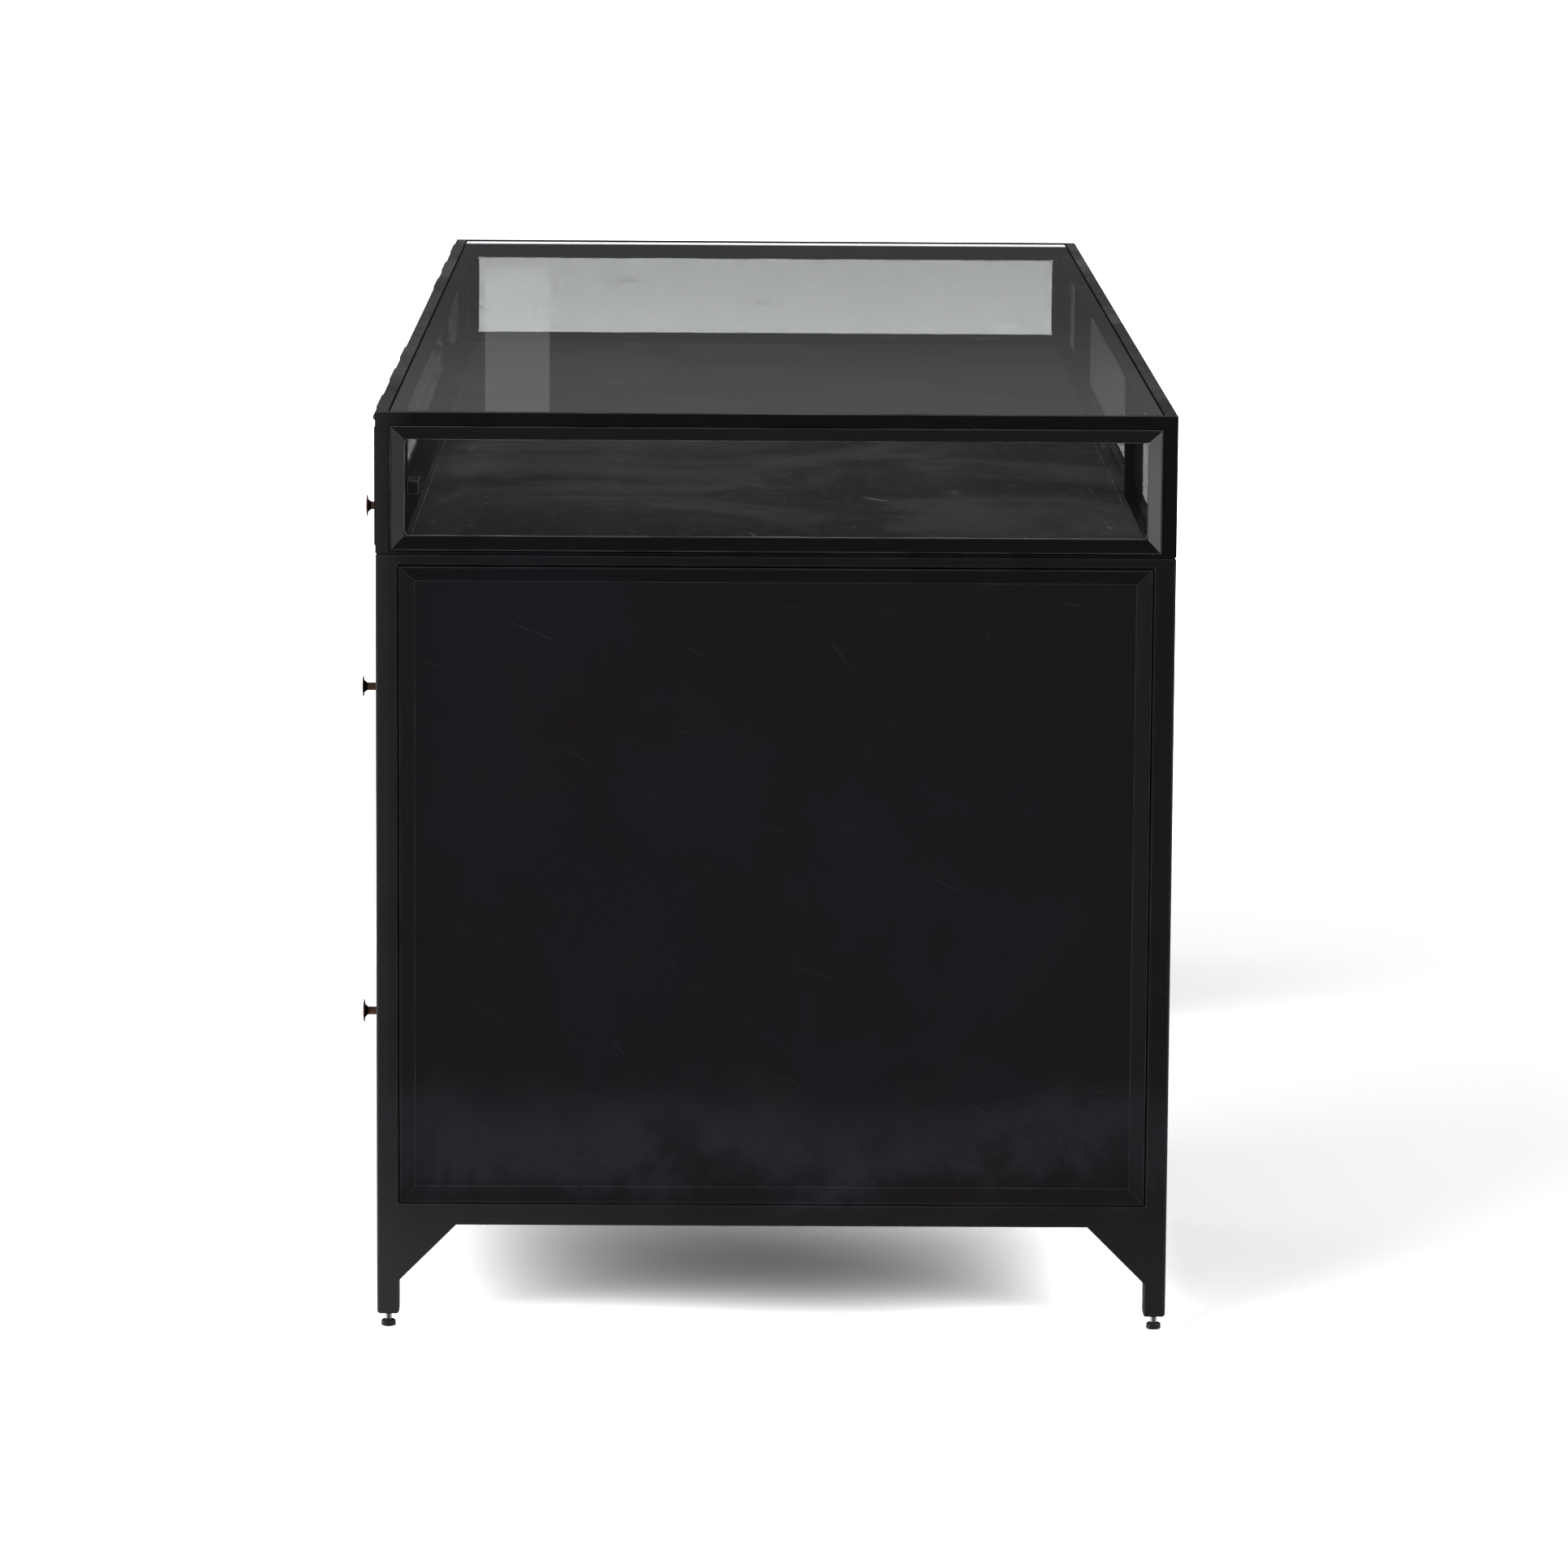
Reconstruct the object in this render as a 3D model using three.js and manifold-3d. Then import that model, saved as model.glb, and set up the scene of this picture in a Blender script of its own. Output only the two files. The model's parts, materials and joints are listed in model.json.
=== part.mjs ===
// Glass-topped display desk in blackened iron: a glazed show case on two drawer pedestals.
// Millimetres, +Z up. X runs along the desk, the drawers and flap doors face -Y, the floor is z = 0.
import * as THREE from 'three';
import { ConvexGeometry } from 'three/addons/geometries/ConvexGeometry.js';
import { mergeVertices } from 'three/addons/utils/BufferGeometryUtils.js';
import Module from 'manifold-3d';

const wasm = await Module();
wasm.setup();

// Driving dimensions
const LENGTH = 1830;
const DEPTH = 678;
const HEIGHT = 790;
const PEDESTAL_WIDTH = 440;
const CASE_BOTTOM = 670;
const RAIL_BOTTOM = 90;
const LEG_BOTTOM = 11.5;

// General
const GAP = 0.3;
const OVERLAP = 0.5;
const SHEET = 1.5;
const PLATE = 3;
const SEAM = 0.8;
const ROUND_STEPS = 20;
const HALF_LENGTH = LENGTH / 2;
const HALF_DEPTH = DEPTH / 2;

// Pedestal frame
const TUBE = 19;
const TUBE_WALL = 1.5;
const TOP_RAIL = 10;
const GUSSET = 49;
const DRAWER_SEAM = 380.5;
const PANEL_BEAD = 13;
const PANEL_RECESS = 8;
const PANEL_LAND = 1.5;
const FRONT_RAIL_SETBACK = 22;

// Drawers
const FRONT_THICKNESS = 18;
const FRONT_BEAD = 14;
const FRONT_RECESS = 4;
const FRONT_GAP = 1.5;
const TRAY_DEPTH = 615;
const TRAY_HEIGHT = 210;
const TRAY_FLOOR_RISE = 21;
const RUNNER_LENGTH = 570;
const RUNNER_HEIGHT = 32;
const RUNNER_DEPTH = 12.5;
const RUNNER_CLEARANCE = 1.5;
const RUNNER_RISE = 95;
const RUNNER_POST = 30;

// Levelling feet
const STEM_RADIUS = 3;
const PAD_RADIUS = 6.2;
const PAD_HEIGHT = 5.6;
const PAD_CHAMFER = 0.8;
const STEM_TOP = 38;
const STEM_HOLE_RADIUS = 3.4;

// Show case
const PAN = 1.7;
const POST = 11.5;
const RIM = 10.5;
const LEDGE = 23;
const LEDGE_THICKNESS = 4.5;
const TOP_GLASS = 5;
const TOP_GLASS_GAP = 1.5;
const SIDE_GLASS = 4;
const WINDOW_BEAD = 12.5;
const WINDOW_RECESS = 7;
const BEAD_THICKNESS = 8;
const BEAD_LAND = 1;
const MULLION = 12;
const MULLION_X = HALF_LENGTH - PEDESTAL_WIDTH;
const BACK_MULLION_DEPTH = 12;
const LINER = 1.5;
const LINER_EDGE = 21;

// Flap doors, their hinges and catches
const DOOR_GAP = 1.5;
const DOOR_PROUD = 1.5;
const DOOR_THICKNESS = 8;
const DOOR_LAND = 6.5;
const DOOR_BORDER = 19;
const DOOR_RECESS = 5;
const DOOR_REBATE = 15;
const DOOR_GLASS = 2.4;
const DOOR_HEAD_GAP = 3.5;
const DOOR_FOOT_GAP = 3.5;
const HINGE_LENGTH = 100;
const HINGE_INSET = 45;
const HINGE_DROP = 10;
const HINGE_STANDOFF = 1.7;
const HINGE_RADIUS = 2.9;
const HINGE_NOTCH_RADIUS = 3.5;
const PIN_RADIUS = 1;
const BORE_RADIUS = 1.4;
const KNUCKLES = 5;
const KNUCKLE_GAP = 0.4;
const LEAF = 1.2;
const LEAF_DROP = 13;
const CATCH_LENGTH = 40;
const CATCH_DEPTH = 10;
const CATCH_HEIGHT = 12;
const CATCH_SLOT = 1.2;

// Knobs: [radius, distance out from the face] of the foot, [radius, distance back from the crown] of the head
const DRAWER_KNOB_LENGTH = 22.5;
const DOOR_KNOB_LENGTH = 17;
const KNOB_BOSS_RADIUS = 7.5;
const KNOB_FOOT = [[0, 0], [6.8, 0], [6.8, 0.8], [5.7, 1.8], [4.4, 4], [3.6, 7]];
const KNOB_COLLAR = [[3.5, 5.4], [3.9, 4.1], [4.9, 2.9], [5.8, 2.1]];
const KNOB_CAP = [[10.1, 1.6], [10.1, 1.1], [8, 0.5], [4, 0.12], [0, 0]];

const iron = { color: 0x1d1c1f, metalness: 0.6, roughness: 0.45 };
const darkIron = { color: 0x2a2a2c, metalness: 0.5, roughness: 0.6 };
const paneGlass = { color: 0xbfcac6, metalness: 0, roughness: 0.05, transparent: true, opacity: 0.3 };
const bronze = { color: 0x4b342a, metalness: 0.8, roughness: 0.35 };
const nickel = { color: 0xb5aba4, metalness: 0.9, roughness: 0.3 };
const zinc = { color: 0xb9bbbd, metalness: 0.9, roughness: 0.3 };

// A three.js geometry as a manifold solid, its shared vertices merged
function solid(geometry) {
  const bare = geometry.clone();
  bare.deleteAttribute('normal');
  bare.deleteAttribute('uv');
  const merged = mergeVertices(bare);
  return new wasm.Manifold(new wasm.Mesh({
    numProp: 3,
    vertProperties: merged.attributes.position.array,
    triVerts: Uint32Array.from(merged.index.array),
  }));
}

// A box between two corners, in any order on each axis
function box(x0, x1, y0, y1, z0, z1) {
  const geometry = new THREE.BoxGeometry(Math.abs(x1 - x0), Math.abs(y1 - y0), Math.abs(z1 - z0));
  geometry.translate((x0 + x1) / 2, (y0 + y1) / 2, (z0 + z1) / 2);
  return solid(geometry);
}

// A tapered block, centred in X and Z, from one rectangle at y0 to another at y1
function frustum(width0, height0, y0, width1, height1, y1) {
  const corners = [];
  for (const [width, height, y] of [[width0, height0, y0], [width1, height1, y1]]) {
    for (const side of [-0.5, 0.5]) {
      corners.push(new THREE.Vector3(side * width, y, -height / 2));
      corners.push(new THREE.Vector3(side * width, y, height / 2));
    }
  }
  return solid(new ConvexGeometry(corners));
}

// A cylinder along X, centred at the given point
function rodAlongX(radius, x0, x1, y, z) {
  const geometry = new THREE.CylinderGeometry(radius, radius, Math.abs(x1 - x0), ROUND_STEPS);
  geometry.rotateZ(Math.PI / 2);
  geometry.translate((x0 + x1) / 2, y, z);
  return solid(geometry);
}

// A solid of revolution about Z from (radius, height) pairs that start and end on the axis
function lathe(profile) {
  const points = profile.map(([radius, height]) => new THREE.Vector2(radius, height));
  const geometry = new THREE.LatheGeometry(points, ROUND_STEPS);
  geometry.rotateX(Math.PI / 2);
  return solid(geometry);
}

function joined(shapes) {
  return shapes.reduce((sum, shape) => sum.add(shape));
}

function cutFrom(shape, cutters) {
  return cutters.reduce((rest, cutter) => rest.subtract(cutter), shape);
}

// A named mesh with a material of its own, from a manifold solid
function piece(name, shape, look) {
  const { vertProperties, triVerts } = shape.getMesh();
  const geometry = new THREE.BufferGeometry();
  geometry.setAttribute('position', new THREE.BufferAttribute(vertProperties, 3));
  geometry.setIndex(new THREE.BufferAttribute(triVerts, 1));
  geometry.computeVertexNormals();
  const mesh = new THREE.Mesh(geometry, new THREE.MeshStandardMaterial(look));
  mesh.name = name;
  return mesh;
}

// What a frame facing -Y loses to its opening: past a flat land, a bevel down to straight sides
function bevelledOpening(width, height, land, border, recess, thickness) {
  const [halfX, halfZ] = [width / 2 - border, height / 2 - border];
  const bevel = frustum(width - 2 * land, height - 2 * land, 0, 2 * halfX, 2 * halfZ, recess);
  return bevel.add(box(-halfX, halfX, -OVERLAP, thickness + OVERLAP, -halfZ, halfZ));
}

// A flat frame facing -Y with its front at y = 0 and such an opening through it
function bevelledRing(width, height, land, border, recess, thickness) {
  const blank = box(-width / 2, width / 2, 0, thickness, -height / 2, height / 2);
  return blank.subtract(bevelledOpening(width, height, land, border, recess, thickness));
}

// The hollow in front of a pressed sheet: mitred bevels down to the flat field
function beadHollow(width, height, bead, recess) {
  const land = 2 * PANEL_LAND;
  return frustum(width - land, height - land, 0, width - 2 * bead, height - 2 * bead, recess);
}

// A pressed sheet facing -Y: its rim at y = 0, mitred bevels, and a flat field set back
function beadedSheet(width, height, bead, recess) {
  const rim = box(-width / 2, width / 2, 0, SHEET, -height / 2, height / 2);
  const innerDrop = 2 * (bead - SHEET);
  const dish = frustum(width, height, 0, width - innerDrop, height - innerDrop, recess + SHEET);
  return rim.add(dish).subtract(beadHollow(width, height, bead, recess));
}

// A mushroom knob standing on y = 0 and pointing to -Y; only its neck changes with length
function knobShape(length) {
  const head = [...KNOB_COLLAR, ...KNOB_CAP].map(([radius, back]) => [radius, length - back]);
  return lathe([...KNOB_FOOT, ...head]).rotate([90, 0, 0]);
}

// Pedestal, built about its own centre line in X
const HALF_PEDESTAL = PEDESTAL_WIDTH / 2;
const INNER_X = HALF_PEDESTAL - TUBE;
const INNER_Y = HALF_DEPTH - TUBE;
const RAIL_TOP = RAIL_BOTTOM + TUBE;
const FRONT_RAIL_FACE = -HALF_DEPTH + FRONT_RAIL_SETBACK;
const FRONT_RAIL_BACK = FRONT_RAIL_FACE + TUBE;
const TOP_RAIL_BOTTOM = CASE_BOTTOM - TOP_RAIL;

function legShape(sideX, sideY) {
  const [x, y] = [sideX * HALF_PEDESTAL, sideY * HALF_DEPTH];
  const tube = box(x, x - sideX * TUBE, y, y - sideY * TUBE, LEG_BOTTOM, CASE_BOTTOM);
  const hollow = box(
    x - sideX * TUBE_WALL, x - sideX * (TUBE - TUBE_WALL),
    y - sideY * TUBE_WALL, y - sideY * (TUBE - TUBE_WALL),
    LEG_BOTTOM + PLATE, CASE_BOTTOM - TUBE,
  );
  const centre = [x - sideX * TUBE / 2, y - sideY * TUBE / 2];
  const hole = lathe([
    [0, LEG_BOTTOM - OVERLAP], [STEM_HOLE_RADIUS, LEG_BOTTOM - OVERLAP],
    [STEM_HOLE_RADIUS, LEG_BOTTOM + PLATE + OVERLAP], [0, LEG_BOTTOM + PLATE + OVERLAP],
  ]).translate([...centre, 0]);
  return cutFrom(tube, [hollow, hole]);
}

// A 45 degree brace plate between a leg and the rail above it
function gussetShape(sideX, sideY, alongX) {
  const outline = new THREE.Shape();
  outline.moveTo(-OVERLAP, RAIL_BOTTOM + OVERLAP);
  outline.lineTo(-OVERLAP, RAIL_BOTTOM - GUSSET);
  outline.lineTo(0, RAIL_BOTTOM - GUSSET);
  outline.lineTo(GUSSET, RAIL_BOTTOM);
  outline.lineTo(GUSSET, RAIL_BOTTOM + OVERLAP);
  outline.closePath();
  const plate = new THREE.ExtrudeGeometry(outline, { depth: PLATE, bevelEnabled: false });
  plate.rotateX(Math.PI / 2);
  plate.translate(0, PLATE, 0);
  const shape = solid(plate);
  if (alongX) {
    const upright = sideY < 0 ? shape : shape.mirror([0, 1, 0]);
    const facing = sideX > 0 ? upright.mirror([1, 0, 0]) : upright;
    return facing.translate([sideX * INNER_X, sideY * HALF_DEPTH, 0]);
  }
  const turned = shape.rotate([0, 0, 90]);
  const upright = sideX < 0 ? turned.mirror([1, 0, 0]) : turned;
  const facing = sideY > 0 ? upright.mirror([0, 1, 0]) : upright;
  return facing.translate([sideX * HALF_PEDESTAL, sideY * INNER_Y, 0]);
}

function pedestalFrameShape() {
  const shapes = [];
  for (const sideX of [-1, 1]) {
    for (const sideY of [-1, 1]) {
      shapes.push(legShape(sideX, sideY));
      shapes.push(gussetShape(sideX, sideY, false));
      if (sideY > 0) {
        shapes.push(gussetShape(sideX, sideY, true));
      }
    }
    const [outer, inner] = [sideX * HALF_PEDESTAL, sideX * INNER_X];
    shapes.push(box(outer, inner, -INNER_Y - OVERLAP, INNER_Y + OVERLAP, RAIL_BOTTOM, RAIL_TOP));
    shapes.push(box(outer, inner, -INNER_Y - OVERLAP, INNER_Y + OVERLAP, TOP_RAIL_BOTTOM, CASE_BOTTOM));
  }
  const reach = INNER_X + OVERLAP;
  const sheetBottom = RAIL_BOTTOM + PLATE;
  shapes.push(box(-reach, reach, INNER_Y, HALF_DEPTH, RAIL_BOTTOM, RAIL_TOP));
  shapes.push(box(-reach, reach, INNER_Y, HALF_DEPTH, TOP_RAIL_BOTTOM, CASE_BOTTOM));
  const frontLevels = [
    [RAIL_BOTTOM, RAIL_TOP],
    [DRAWER_SEAM - TUBE / 2, DRAWER_SEAM + TUBE / 2],
    [TOP_RAIL_BOTTOM, CASE_BOTTOM],
  ];
  for (const level of frontLevels) {
    shapes.push(box(-reach, reach, FRONT_RAIL_FACE, FRONT_RAIL_BACK, ...level));
  }
  for (const side of [-1, 1]) {
    // Short post that carries the middle rail, beside the leg
    shapes.push(box(
      side * reach, side * (INNER_X - PLATE), FRONT_RAIL_FACE, FRONT_RAIL_BACK - PLATE,
      RAIL_TOP - OVERLAP, TOP_RAIL_BOTTOM + OVERLAP,
    ));
  }
  shapes.push(box(-reach, reach, FRONT_RAIL_FACE, INNER_Y + OVERLAP, sheetBottom, sheetBottom + SHEET));
  return joined(shapes);
}

const RUNNER_FRONT = FRONT_RAIL_BACK + GAP;

// Upright mounting straps with one C-shaped runner for each drawer, on the +X side of the pedestal
function runnerPairShape(runnerHeights) {
  const wall = INNER_X - GAP;
  const face = wall - RUNNER_DEPTH;
  const front = RUNNER_FRONT;
  const back = front + RUNNER_LENGTH;
  const shapes = [];
  for (const y of [front, back - RUNNER_POST]) {
    shapes.push(box(wall - SHEET, wall, y, y + RUNNER_POST, RAIL_TOP + PLATE, TOP_RAIL_BOTTOM - PLATE));
  }
  for (const z of runnerHeights) {
    const [low, high] = [z - RUNNER_HEIGHT / 2, z + RUNNER_HEIGHT / 2];
    const channel = box(face, wall, front, back, low, high);
    const groove = box(
      face - OVERLAP, wall - SHEET, front - OVERLAP, back - SHEET, low + SHEET, high - SHEET,
    );
    shapes.push(channel.subtract(groove));
  }
  return joined(shapes);
}

function drawerFrontShape(width, height) {
  const skirt = box(-width / 2, width / 2, 0, FRONT_THICKNESS, -height / 2, height / 2);
  const hollow = box(
    -width / 2 + SHEET, width / 2 - SHEET, SHEET / 2, FRONT_THICKNESS + OVERLAP,
    -height / 2 + SHEET, height / 2 - SHEET,
  );
  const opening = beadHollow(width, height, FRONT_BEAD, FRONT_RECESS);
  return cutFrom(skirt, [hollow, opening]).add(beadedSheet(width, height, FRONT_BEAD, FRONT_RECESS));
}

// An open box with a slide bar on each side that rides in the runners
function drawerTrayShape(trayBottom, runnerHeight) {
  const half = INNER_X - GAP - RUNNER_DEPTH - RUNNER_CLEARANCE;
  const front = -HALF_DEPTH + FRONT_THICKNESS + GAP;
  const back = front + TRAY_DEPTH;
  const top = trayBottom + TRAY_HEIGHT;
  const shell = box(-half, half, front, back, trayBottom, top);
  const inside = box(
    -half + SHEET, half - SHEET, front + SHEET, back - SHEET, trayBottom + SHEET, top + SHEET,
  );
  const shapes = [shell.subtract(inside)];
  const halfBar = RUNNER_HEIGHT / 2 - SHEET - RUNNER_CLEARANCE;
  const barEnd = RUNNER_FRONT + RUNNER_LENGTH - 2 * RUNNER_CLEARANCE;
  for (const side of [-1, 1]) {
    const reach = side * (INNER_X - GAP - SHEET - RUNNER_CLEARANCE);
    const bar = [runnerHeight - halfBar, runnerHeight + halfBar];
    shapes.push(box(side * (half - OVERLAP), reach, RUNNER_FRONT, barEnd, ...bar));
  }
  return joined(shapes);
}

const drawers = [
  { name: 'upper', bottom: DRAWER_SEAM + FRONT_GAP, top: CASE_BOTTOM - FRONT_GAP },
  { name: 'lower', bottom: RAIL_BOTTOM + FRONT_GAP, top: DRAWER_SEAM - FRONT_GAP },
];
for (const drawer of drawers) {
  drawer.trayBottom = drawer.bottom + TRAY_FLOOR_RISE;
  drawer.runner = drawer.trayBottom + RUNNER_RISE;
}

function drawerGroup(side, drawer) {
  const group = new THREE.Group();
  const width = 2 * (INNER_X - FRONT_GAP);
  const middle = (drawer.bottom + drawer.top) / 2;
  const label = `${side}_${drawer.name}_drawer`;
  const front = piece(`${label}_front`, drawerFrontShape(width, drawer.top - drawer.bottom), iron);
  front.position.set(0, -HALF_DEPTH, middle);
  const tray = piece(`${label}_tray`, drawerTrayShape(drawer.trayBottom, drawer.runner), darkIron);
  const knob = piece(`${label}_knob`, knobShape(DRAWER_KNOB_LENGTH + FRONT_RECESS - GAP), bronze);
  knob.position.set(0, -HALF_DEPTH + FRONT_RECESS - GAP, middle);
  group.add(front, tray, knob);
  return group;
}

function levellerShape() {
  return lathe([
    [0, 0], [PAD_RADIUS - PAD_CHAMFER, 0], [PAD_RADIUS, PAD_CHAMFER], [PAD_RADIUS, PAD_HEIGHT - PAD_CHAMFER],
    [PAD_RADIUS - PAD_CHAMFER, PAD_HEIGHT], [STEM_RADIUS, PAD_HEIGHT], [STEM_RADIUS, STEM_TOP], [0, STEM_TOP],
  ]);
}

function pedestalGroup(side, outward) {
  const group = new THREE.Group();
  group.add(piece(`${side}_pedestal_frame`, pedestalFrameShape(), iron));

  const panelHeight = TOP_RAIL_BOTTOM - RAIL_TOP - 2 * SEAM;
  const panelMiddle = (TOP_RAIL_BOTTOM + RAIL_TOP) / 2;
  const sideSheet = beadedSheet(2 * (INNER_Y - SEAM), panelHeight, PANEL_BEAD, PANEL_RECESS);
  for (const [label, facing] of [['end', outward], ['kneehole', -outward]]) {
    const panel = piece(`${side}_${label}_panel`, sideSheet, iron);
    panel.rotation.z = facing * Math.PI / 2;
    panel.position.set(facing * HALF_PEDESTAL, 0, panelMiddle);
    const rightHand = runnerPairShape(drawers.map((drawer) => drawer.runner));
    const runners = facing > 0 ? rightHand : rightHand.mirror([1, 0, 0]);
    group.add(panel, piece(`${side}_${label}_runners`, runners, zinc));
  }
  const backSheet = beadedSheet(2 * (INNER_X - SEAM), panelHeight, PANEL_BEAD, PANEL_RECESS);
  const backPanel = piece(`${side}_back_panel`, backSheet, iron);
  backPanel.rotation.z = Math.PI;
  backPanel.position.set(0, HALF_DEPTH, panelMiddle);
  group.add(backPanel);

  for (const drawer of drawers) {
    group.add(drawerGroup(side, drawer));
  }
  for (const [depthLabel, sideY] of [['front', -1], ['back', 1]]) {
    for (const [widthLabel, sideX] of [['end', outward], ['kneehole', -outward]]) {
      const foot = piece(`${side}_leveller_${depthLabel}_${widthLabel}`, levellerShape(), zinc);
      foot.position.set(sideX * (HALF_PEDESTAL - TUBE / 2), sideY * (HALF_DEPTH - TUBE / 2), 0);
      group.add(foot);
    }
  }
  group.position.x = outward * (HALF_LENGTH - HALF_PEDESTAL);
  return group;
}

// Show case
const CASE_FLOOR = CASE_BOTTOM + GAP + PAN;
const RIM_BOTTOM = HEIGHT - RIM;
const LEDGE_TOP = RIM_BOTTOM + LEDGE_THICKNESS;
const WINDOW_HEIGHT = RIM_BOTTOM - CASE_FLOOR;
const WINDOW_MIDDLE = (RIM_BOTTOM + CASE_FLOOR) / 2;
const HINGE_Y = -HALF_DEPTH - HINGE_STANDOFF;
const HINGE_Z = HEIGHT - HINGE_DROP;

// The three bays between the posts and the mullions, from left to right
const bays = [
  { name: 'left', x0: -HALF_LENGTH + POST, x1: -MULLION_X - MULLION / 2 },
  { name: 'centre', x0: -MULLION_X + MULLION / 2, x1: MULLION_X - MULLION / 2 },
  { name: 'right', x0: MULLION_X + MULLION / 2, x1: HALF_LENGTH - POST },
];

function hingeStarts(bay) {
  const first = bay.x0 + HINGE_INSET;
  const last = bay.x1 - HINGE_INSET - HINGE_LENGTH;
  return [first, last];
}

function ring(halfX, halfY, width, z0, z1) {
  const blank = box(-halfX, halfX, -halfY, halfY, z0, z1);
  const [openX, openY] = [halfX - width, halfY - width];
  return blank.subtract(box(-openX, openX, -openY, openY, z0 - OVERLAP, z1 + OVERLAP));
}

function caseFrameShape() {
  const pan = box(-HALF_LENGTH, HALF_LENGTH, -HALF_DEPTH, HALF_DEPTH, CASE_BOTTOM + GAP, CASE_FLOOR);
  const rim = ring(HALF_LENGTH, HALF_DEPTH, RIM, RIM_BOTTOM, HEIGHT);
  const ledge = ring(HALF_LENGTH, HALF_DEPTH, LEDGE, RIM_BOTTOM, LEDGE_TOP);
  const shapes = [pan, rim, ledge];
  const postTop = RIM_BOTTOM + OVERLAP;
  const postFoot = CASE_FLOOR - OVERLAP;
  for (const sideX of [-1, 1]) {
    for (const sideY of [-1, 1]) {
      const [x, y] = [sideX * HALF_LENGTH, sideY * HALF_DEPTH];
      shapes.push(box(x, x - sideX * POST, y, y - sideY * POST, postFoot, postTop));
    }
    const [left, right] = [sideX * MULLION_X - MULLION / 2, sideX * MULLION_X + MULLION / 2];
    const backFace = HALF_DEPTH - BEAD_THICKNESS - GAP;
    shapes.push(box(left, right, -HALF_DEPTH, -HALF_DEPTH + BEAD_THICKNESS, postFoot, postTop));
    shapes.push(box(left, right, backFace - BACK_MULLION_DEPTH, backFace, postFoot, postTop));
  }
  const notches = [];
  for (const bay of bays) {
    for (const start of hingeStarts(bay)) {
      const end = start + HINGE_LENGTH;
      notches.push(rodAlongX(HINGE_NOTCH_RADIUS, start - OVERLAP, end + OVERLAP, HINGE_Y, HINGE_Z));
    }
  }
  return cutFrom(joined(shapes), notches);
}

function windowBead(bayWidth) {
  const [width, height] = [bayWidth - 2 * SEAM, WINDOW_HEIGHT - 2 * SEAM];
  return bevelledRing(width, height, BEAD_LAND, WINDOW_BEAD - SEAM, WINDOW_RECESS, BEAD_THICKNESS);
}

// One welded bead frame across the back, with a bevelled opening for each bay
function backBeadShape() {
  const half = HALF_LENGTH - POST - SEAM;
  const halfHeight = WINDOW_HEIGHT / 2 - SEAM;
  const openings = bays.map((bay) => bevelledOpening(
    bay.x1 - bay.x0 - 2 * SEAM, 2 * halfHeight, BEAD_LAND, WINDOW_BEAD - SEAM, WINDOW_RECESS, BEAD_THICKNESS,
  ).translate([(bay.x0 + bay.x1) / 2, 0, 0]));
  return cutFrom(box(-half, half, 0, BEAD_THICKNESS, -halfHeight, halfHeight), openings);
}

function caseGroup() {
  const group = new THREE.Group();
  group.add(piece('case_frame', caseFrameShape(), iron));

  const liner = box(
    -HALF_LENGTH + LINER_EDGE, HALF_LENGTH - LINER_EDGE, -HALF_DEPTH + LINER_EDGE, HALF_DEPTH - LINER_EDGE,
    CASE_FLOOR + GAP, CASE_FLOOR + GAP + LINER,
  );
  group.add(piece('case_floor_liner', liner, darkIron));

  const [halfX, halfY] = [HALF_LENGTH - RIM - TOP_GLASS_GAP, HALF_DEPTH - RIM - TOP_GLASS_GAP];
  const glassBottom = LEDGE_TOP + GAP;
  const topPane = box(-halfX, halfX, -halfY, halfY, glassBottom, glassBottom + TOP_GLASS);
  group.add(piece('top_glass', topPane, paneGlass));

  const paneHalfHeight = WINDOW_HEIGHT / 2 - SEAM;
  for (const [side, outward] of [['left', -1], ['right', 1]]) {
    const bead = piece(`${side}_end_bead`, windowBead(DEPTH - 2 * POST), iron);
    bead.rotation.z = outward * Math.PI / 2;
    bead.position.set(outward * HALF_LENGTH, 0, WINDOW_MIDDLE);
    const paneHalf = HALF_DEPTH - POST - SEAM;
    const pane = box(0, SIDE_GLASS, -paneHalf, paneHalf, -paneHalfHeight, paneHalfHeight);
    const glass = piece(`${side}_end_glass`, pane, paneGlass);
    const outerFace = HALF_LENGTH - BEAD_THICKNESS - GAP;
    glass.position.set(outward > 0 ? outerFace - SIDE_GLASS : -outerFace, 0, WINDOW_MIDDLE);
    group.add(bead, glass);
  }

  const backBead = piece('back_bead', backBeadShape(), iron);
  backBead.rotation.z = Math.PI;
  backBead.position.set(0, HALF_DEPTH, WINDOW_MIDDLE);
  group.add(backBead);
  for (const bay of bays) {
    const paneFace = HALF_DEPTH - BEAD_THICKNESS - GAP;
    const pane = box(
      bay.x0 + 2 * SEAM, bay.x1 - 2 * SEAM, paneFace - SIDE_GLASS, paneFace,
      WINDOW_MIDDLE - paneHalfHeight, WINDOW_MIDDLE + paneHalfHeight,
    );
    group.add(piece(`back_glass_${bay.name}`, pane, paneGlass));
  }
  return group;
}

// The knuckles of one hinge whose index has the given parity, each with its strap to a leaf
function knuckleShapes(start, parity, strap) {
  const step = HINGE_LENGTH / KNUCKLES;
  const shapes = [];
  for (let index = parity; index < KNUCKLES; index += 2) {
    const x0 = start + index * step + KNUCKLE_GAP / 2;
    const x1 = start + (index + 1) * step - KNUCKLE_GAP / 2;
    shapes.push(rodAlongX(HINGE_RADIUS, x0, x1, HINGE_Y, HINGE_Z));
    shapes.push(box(x0, x1, ...strap));
  }
  return shapes;
}

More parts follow.
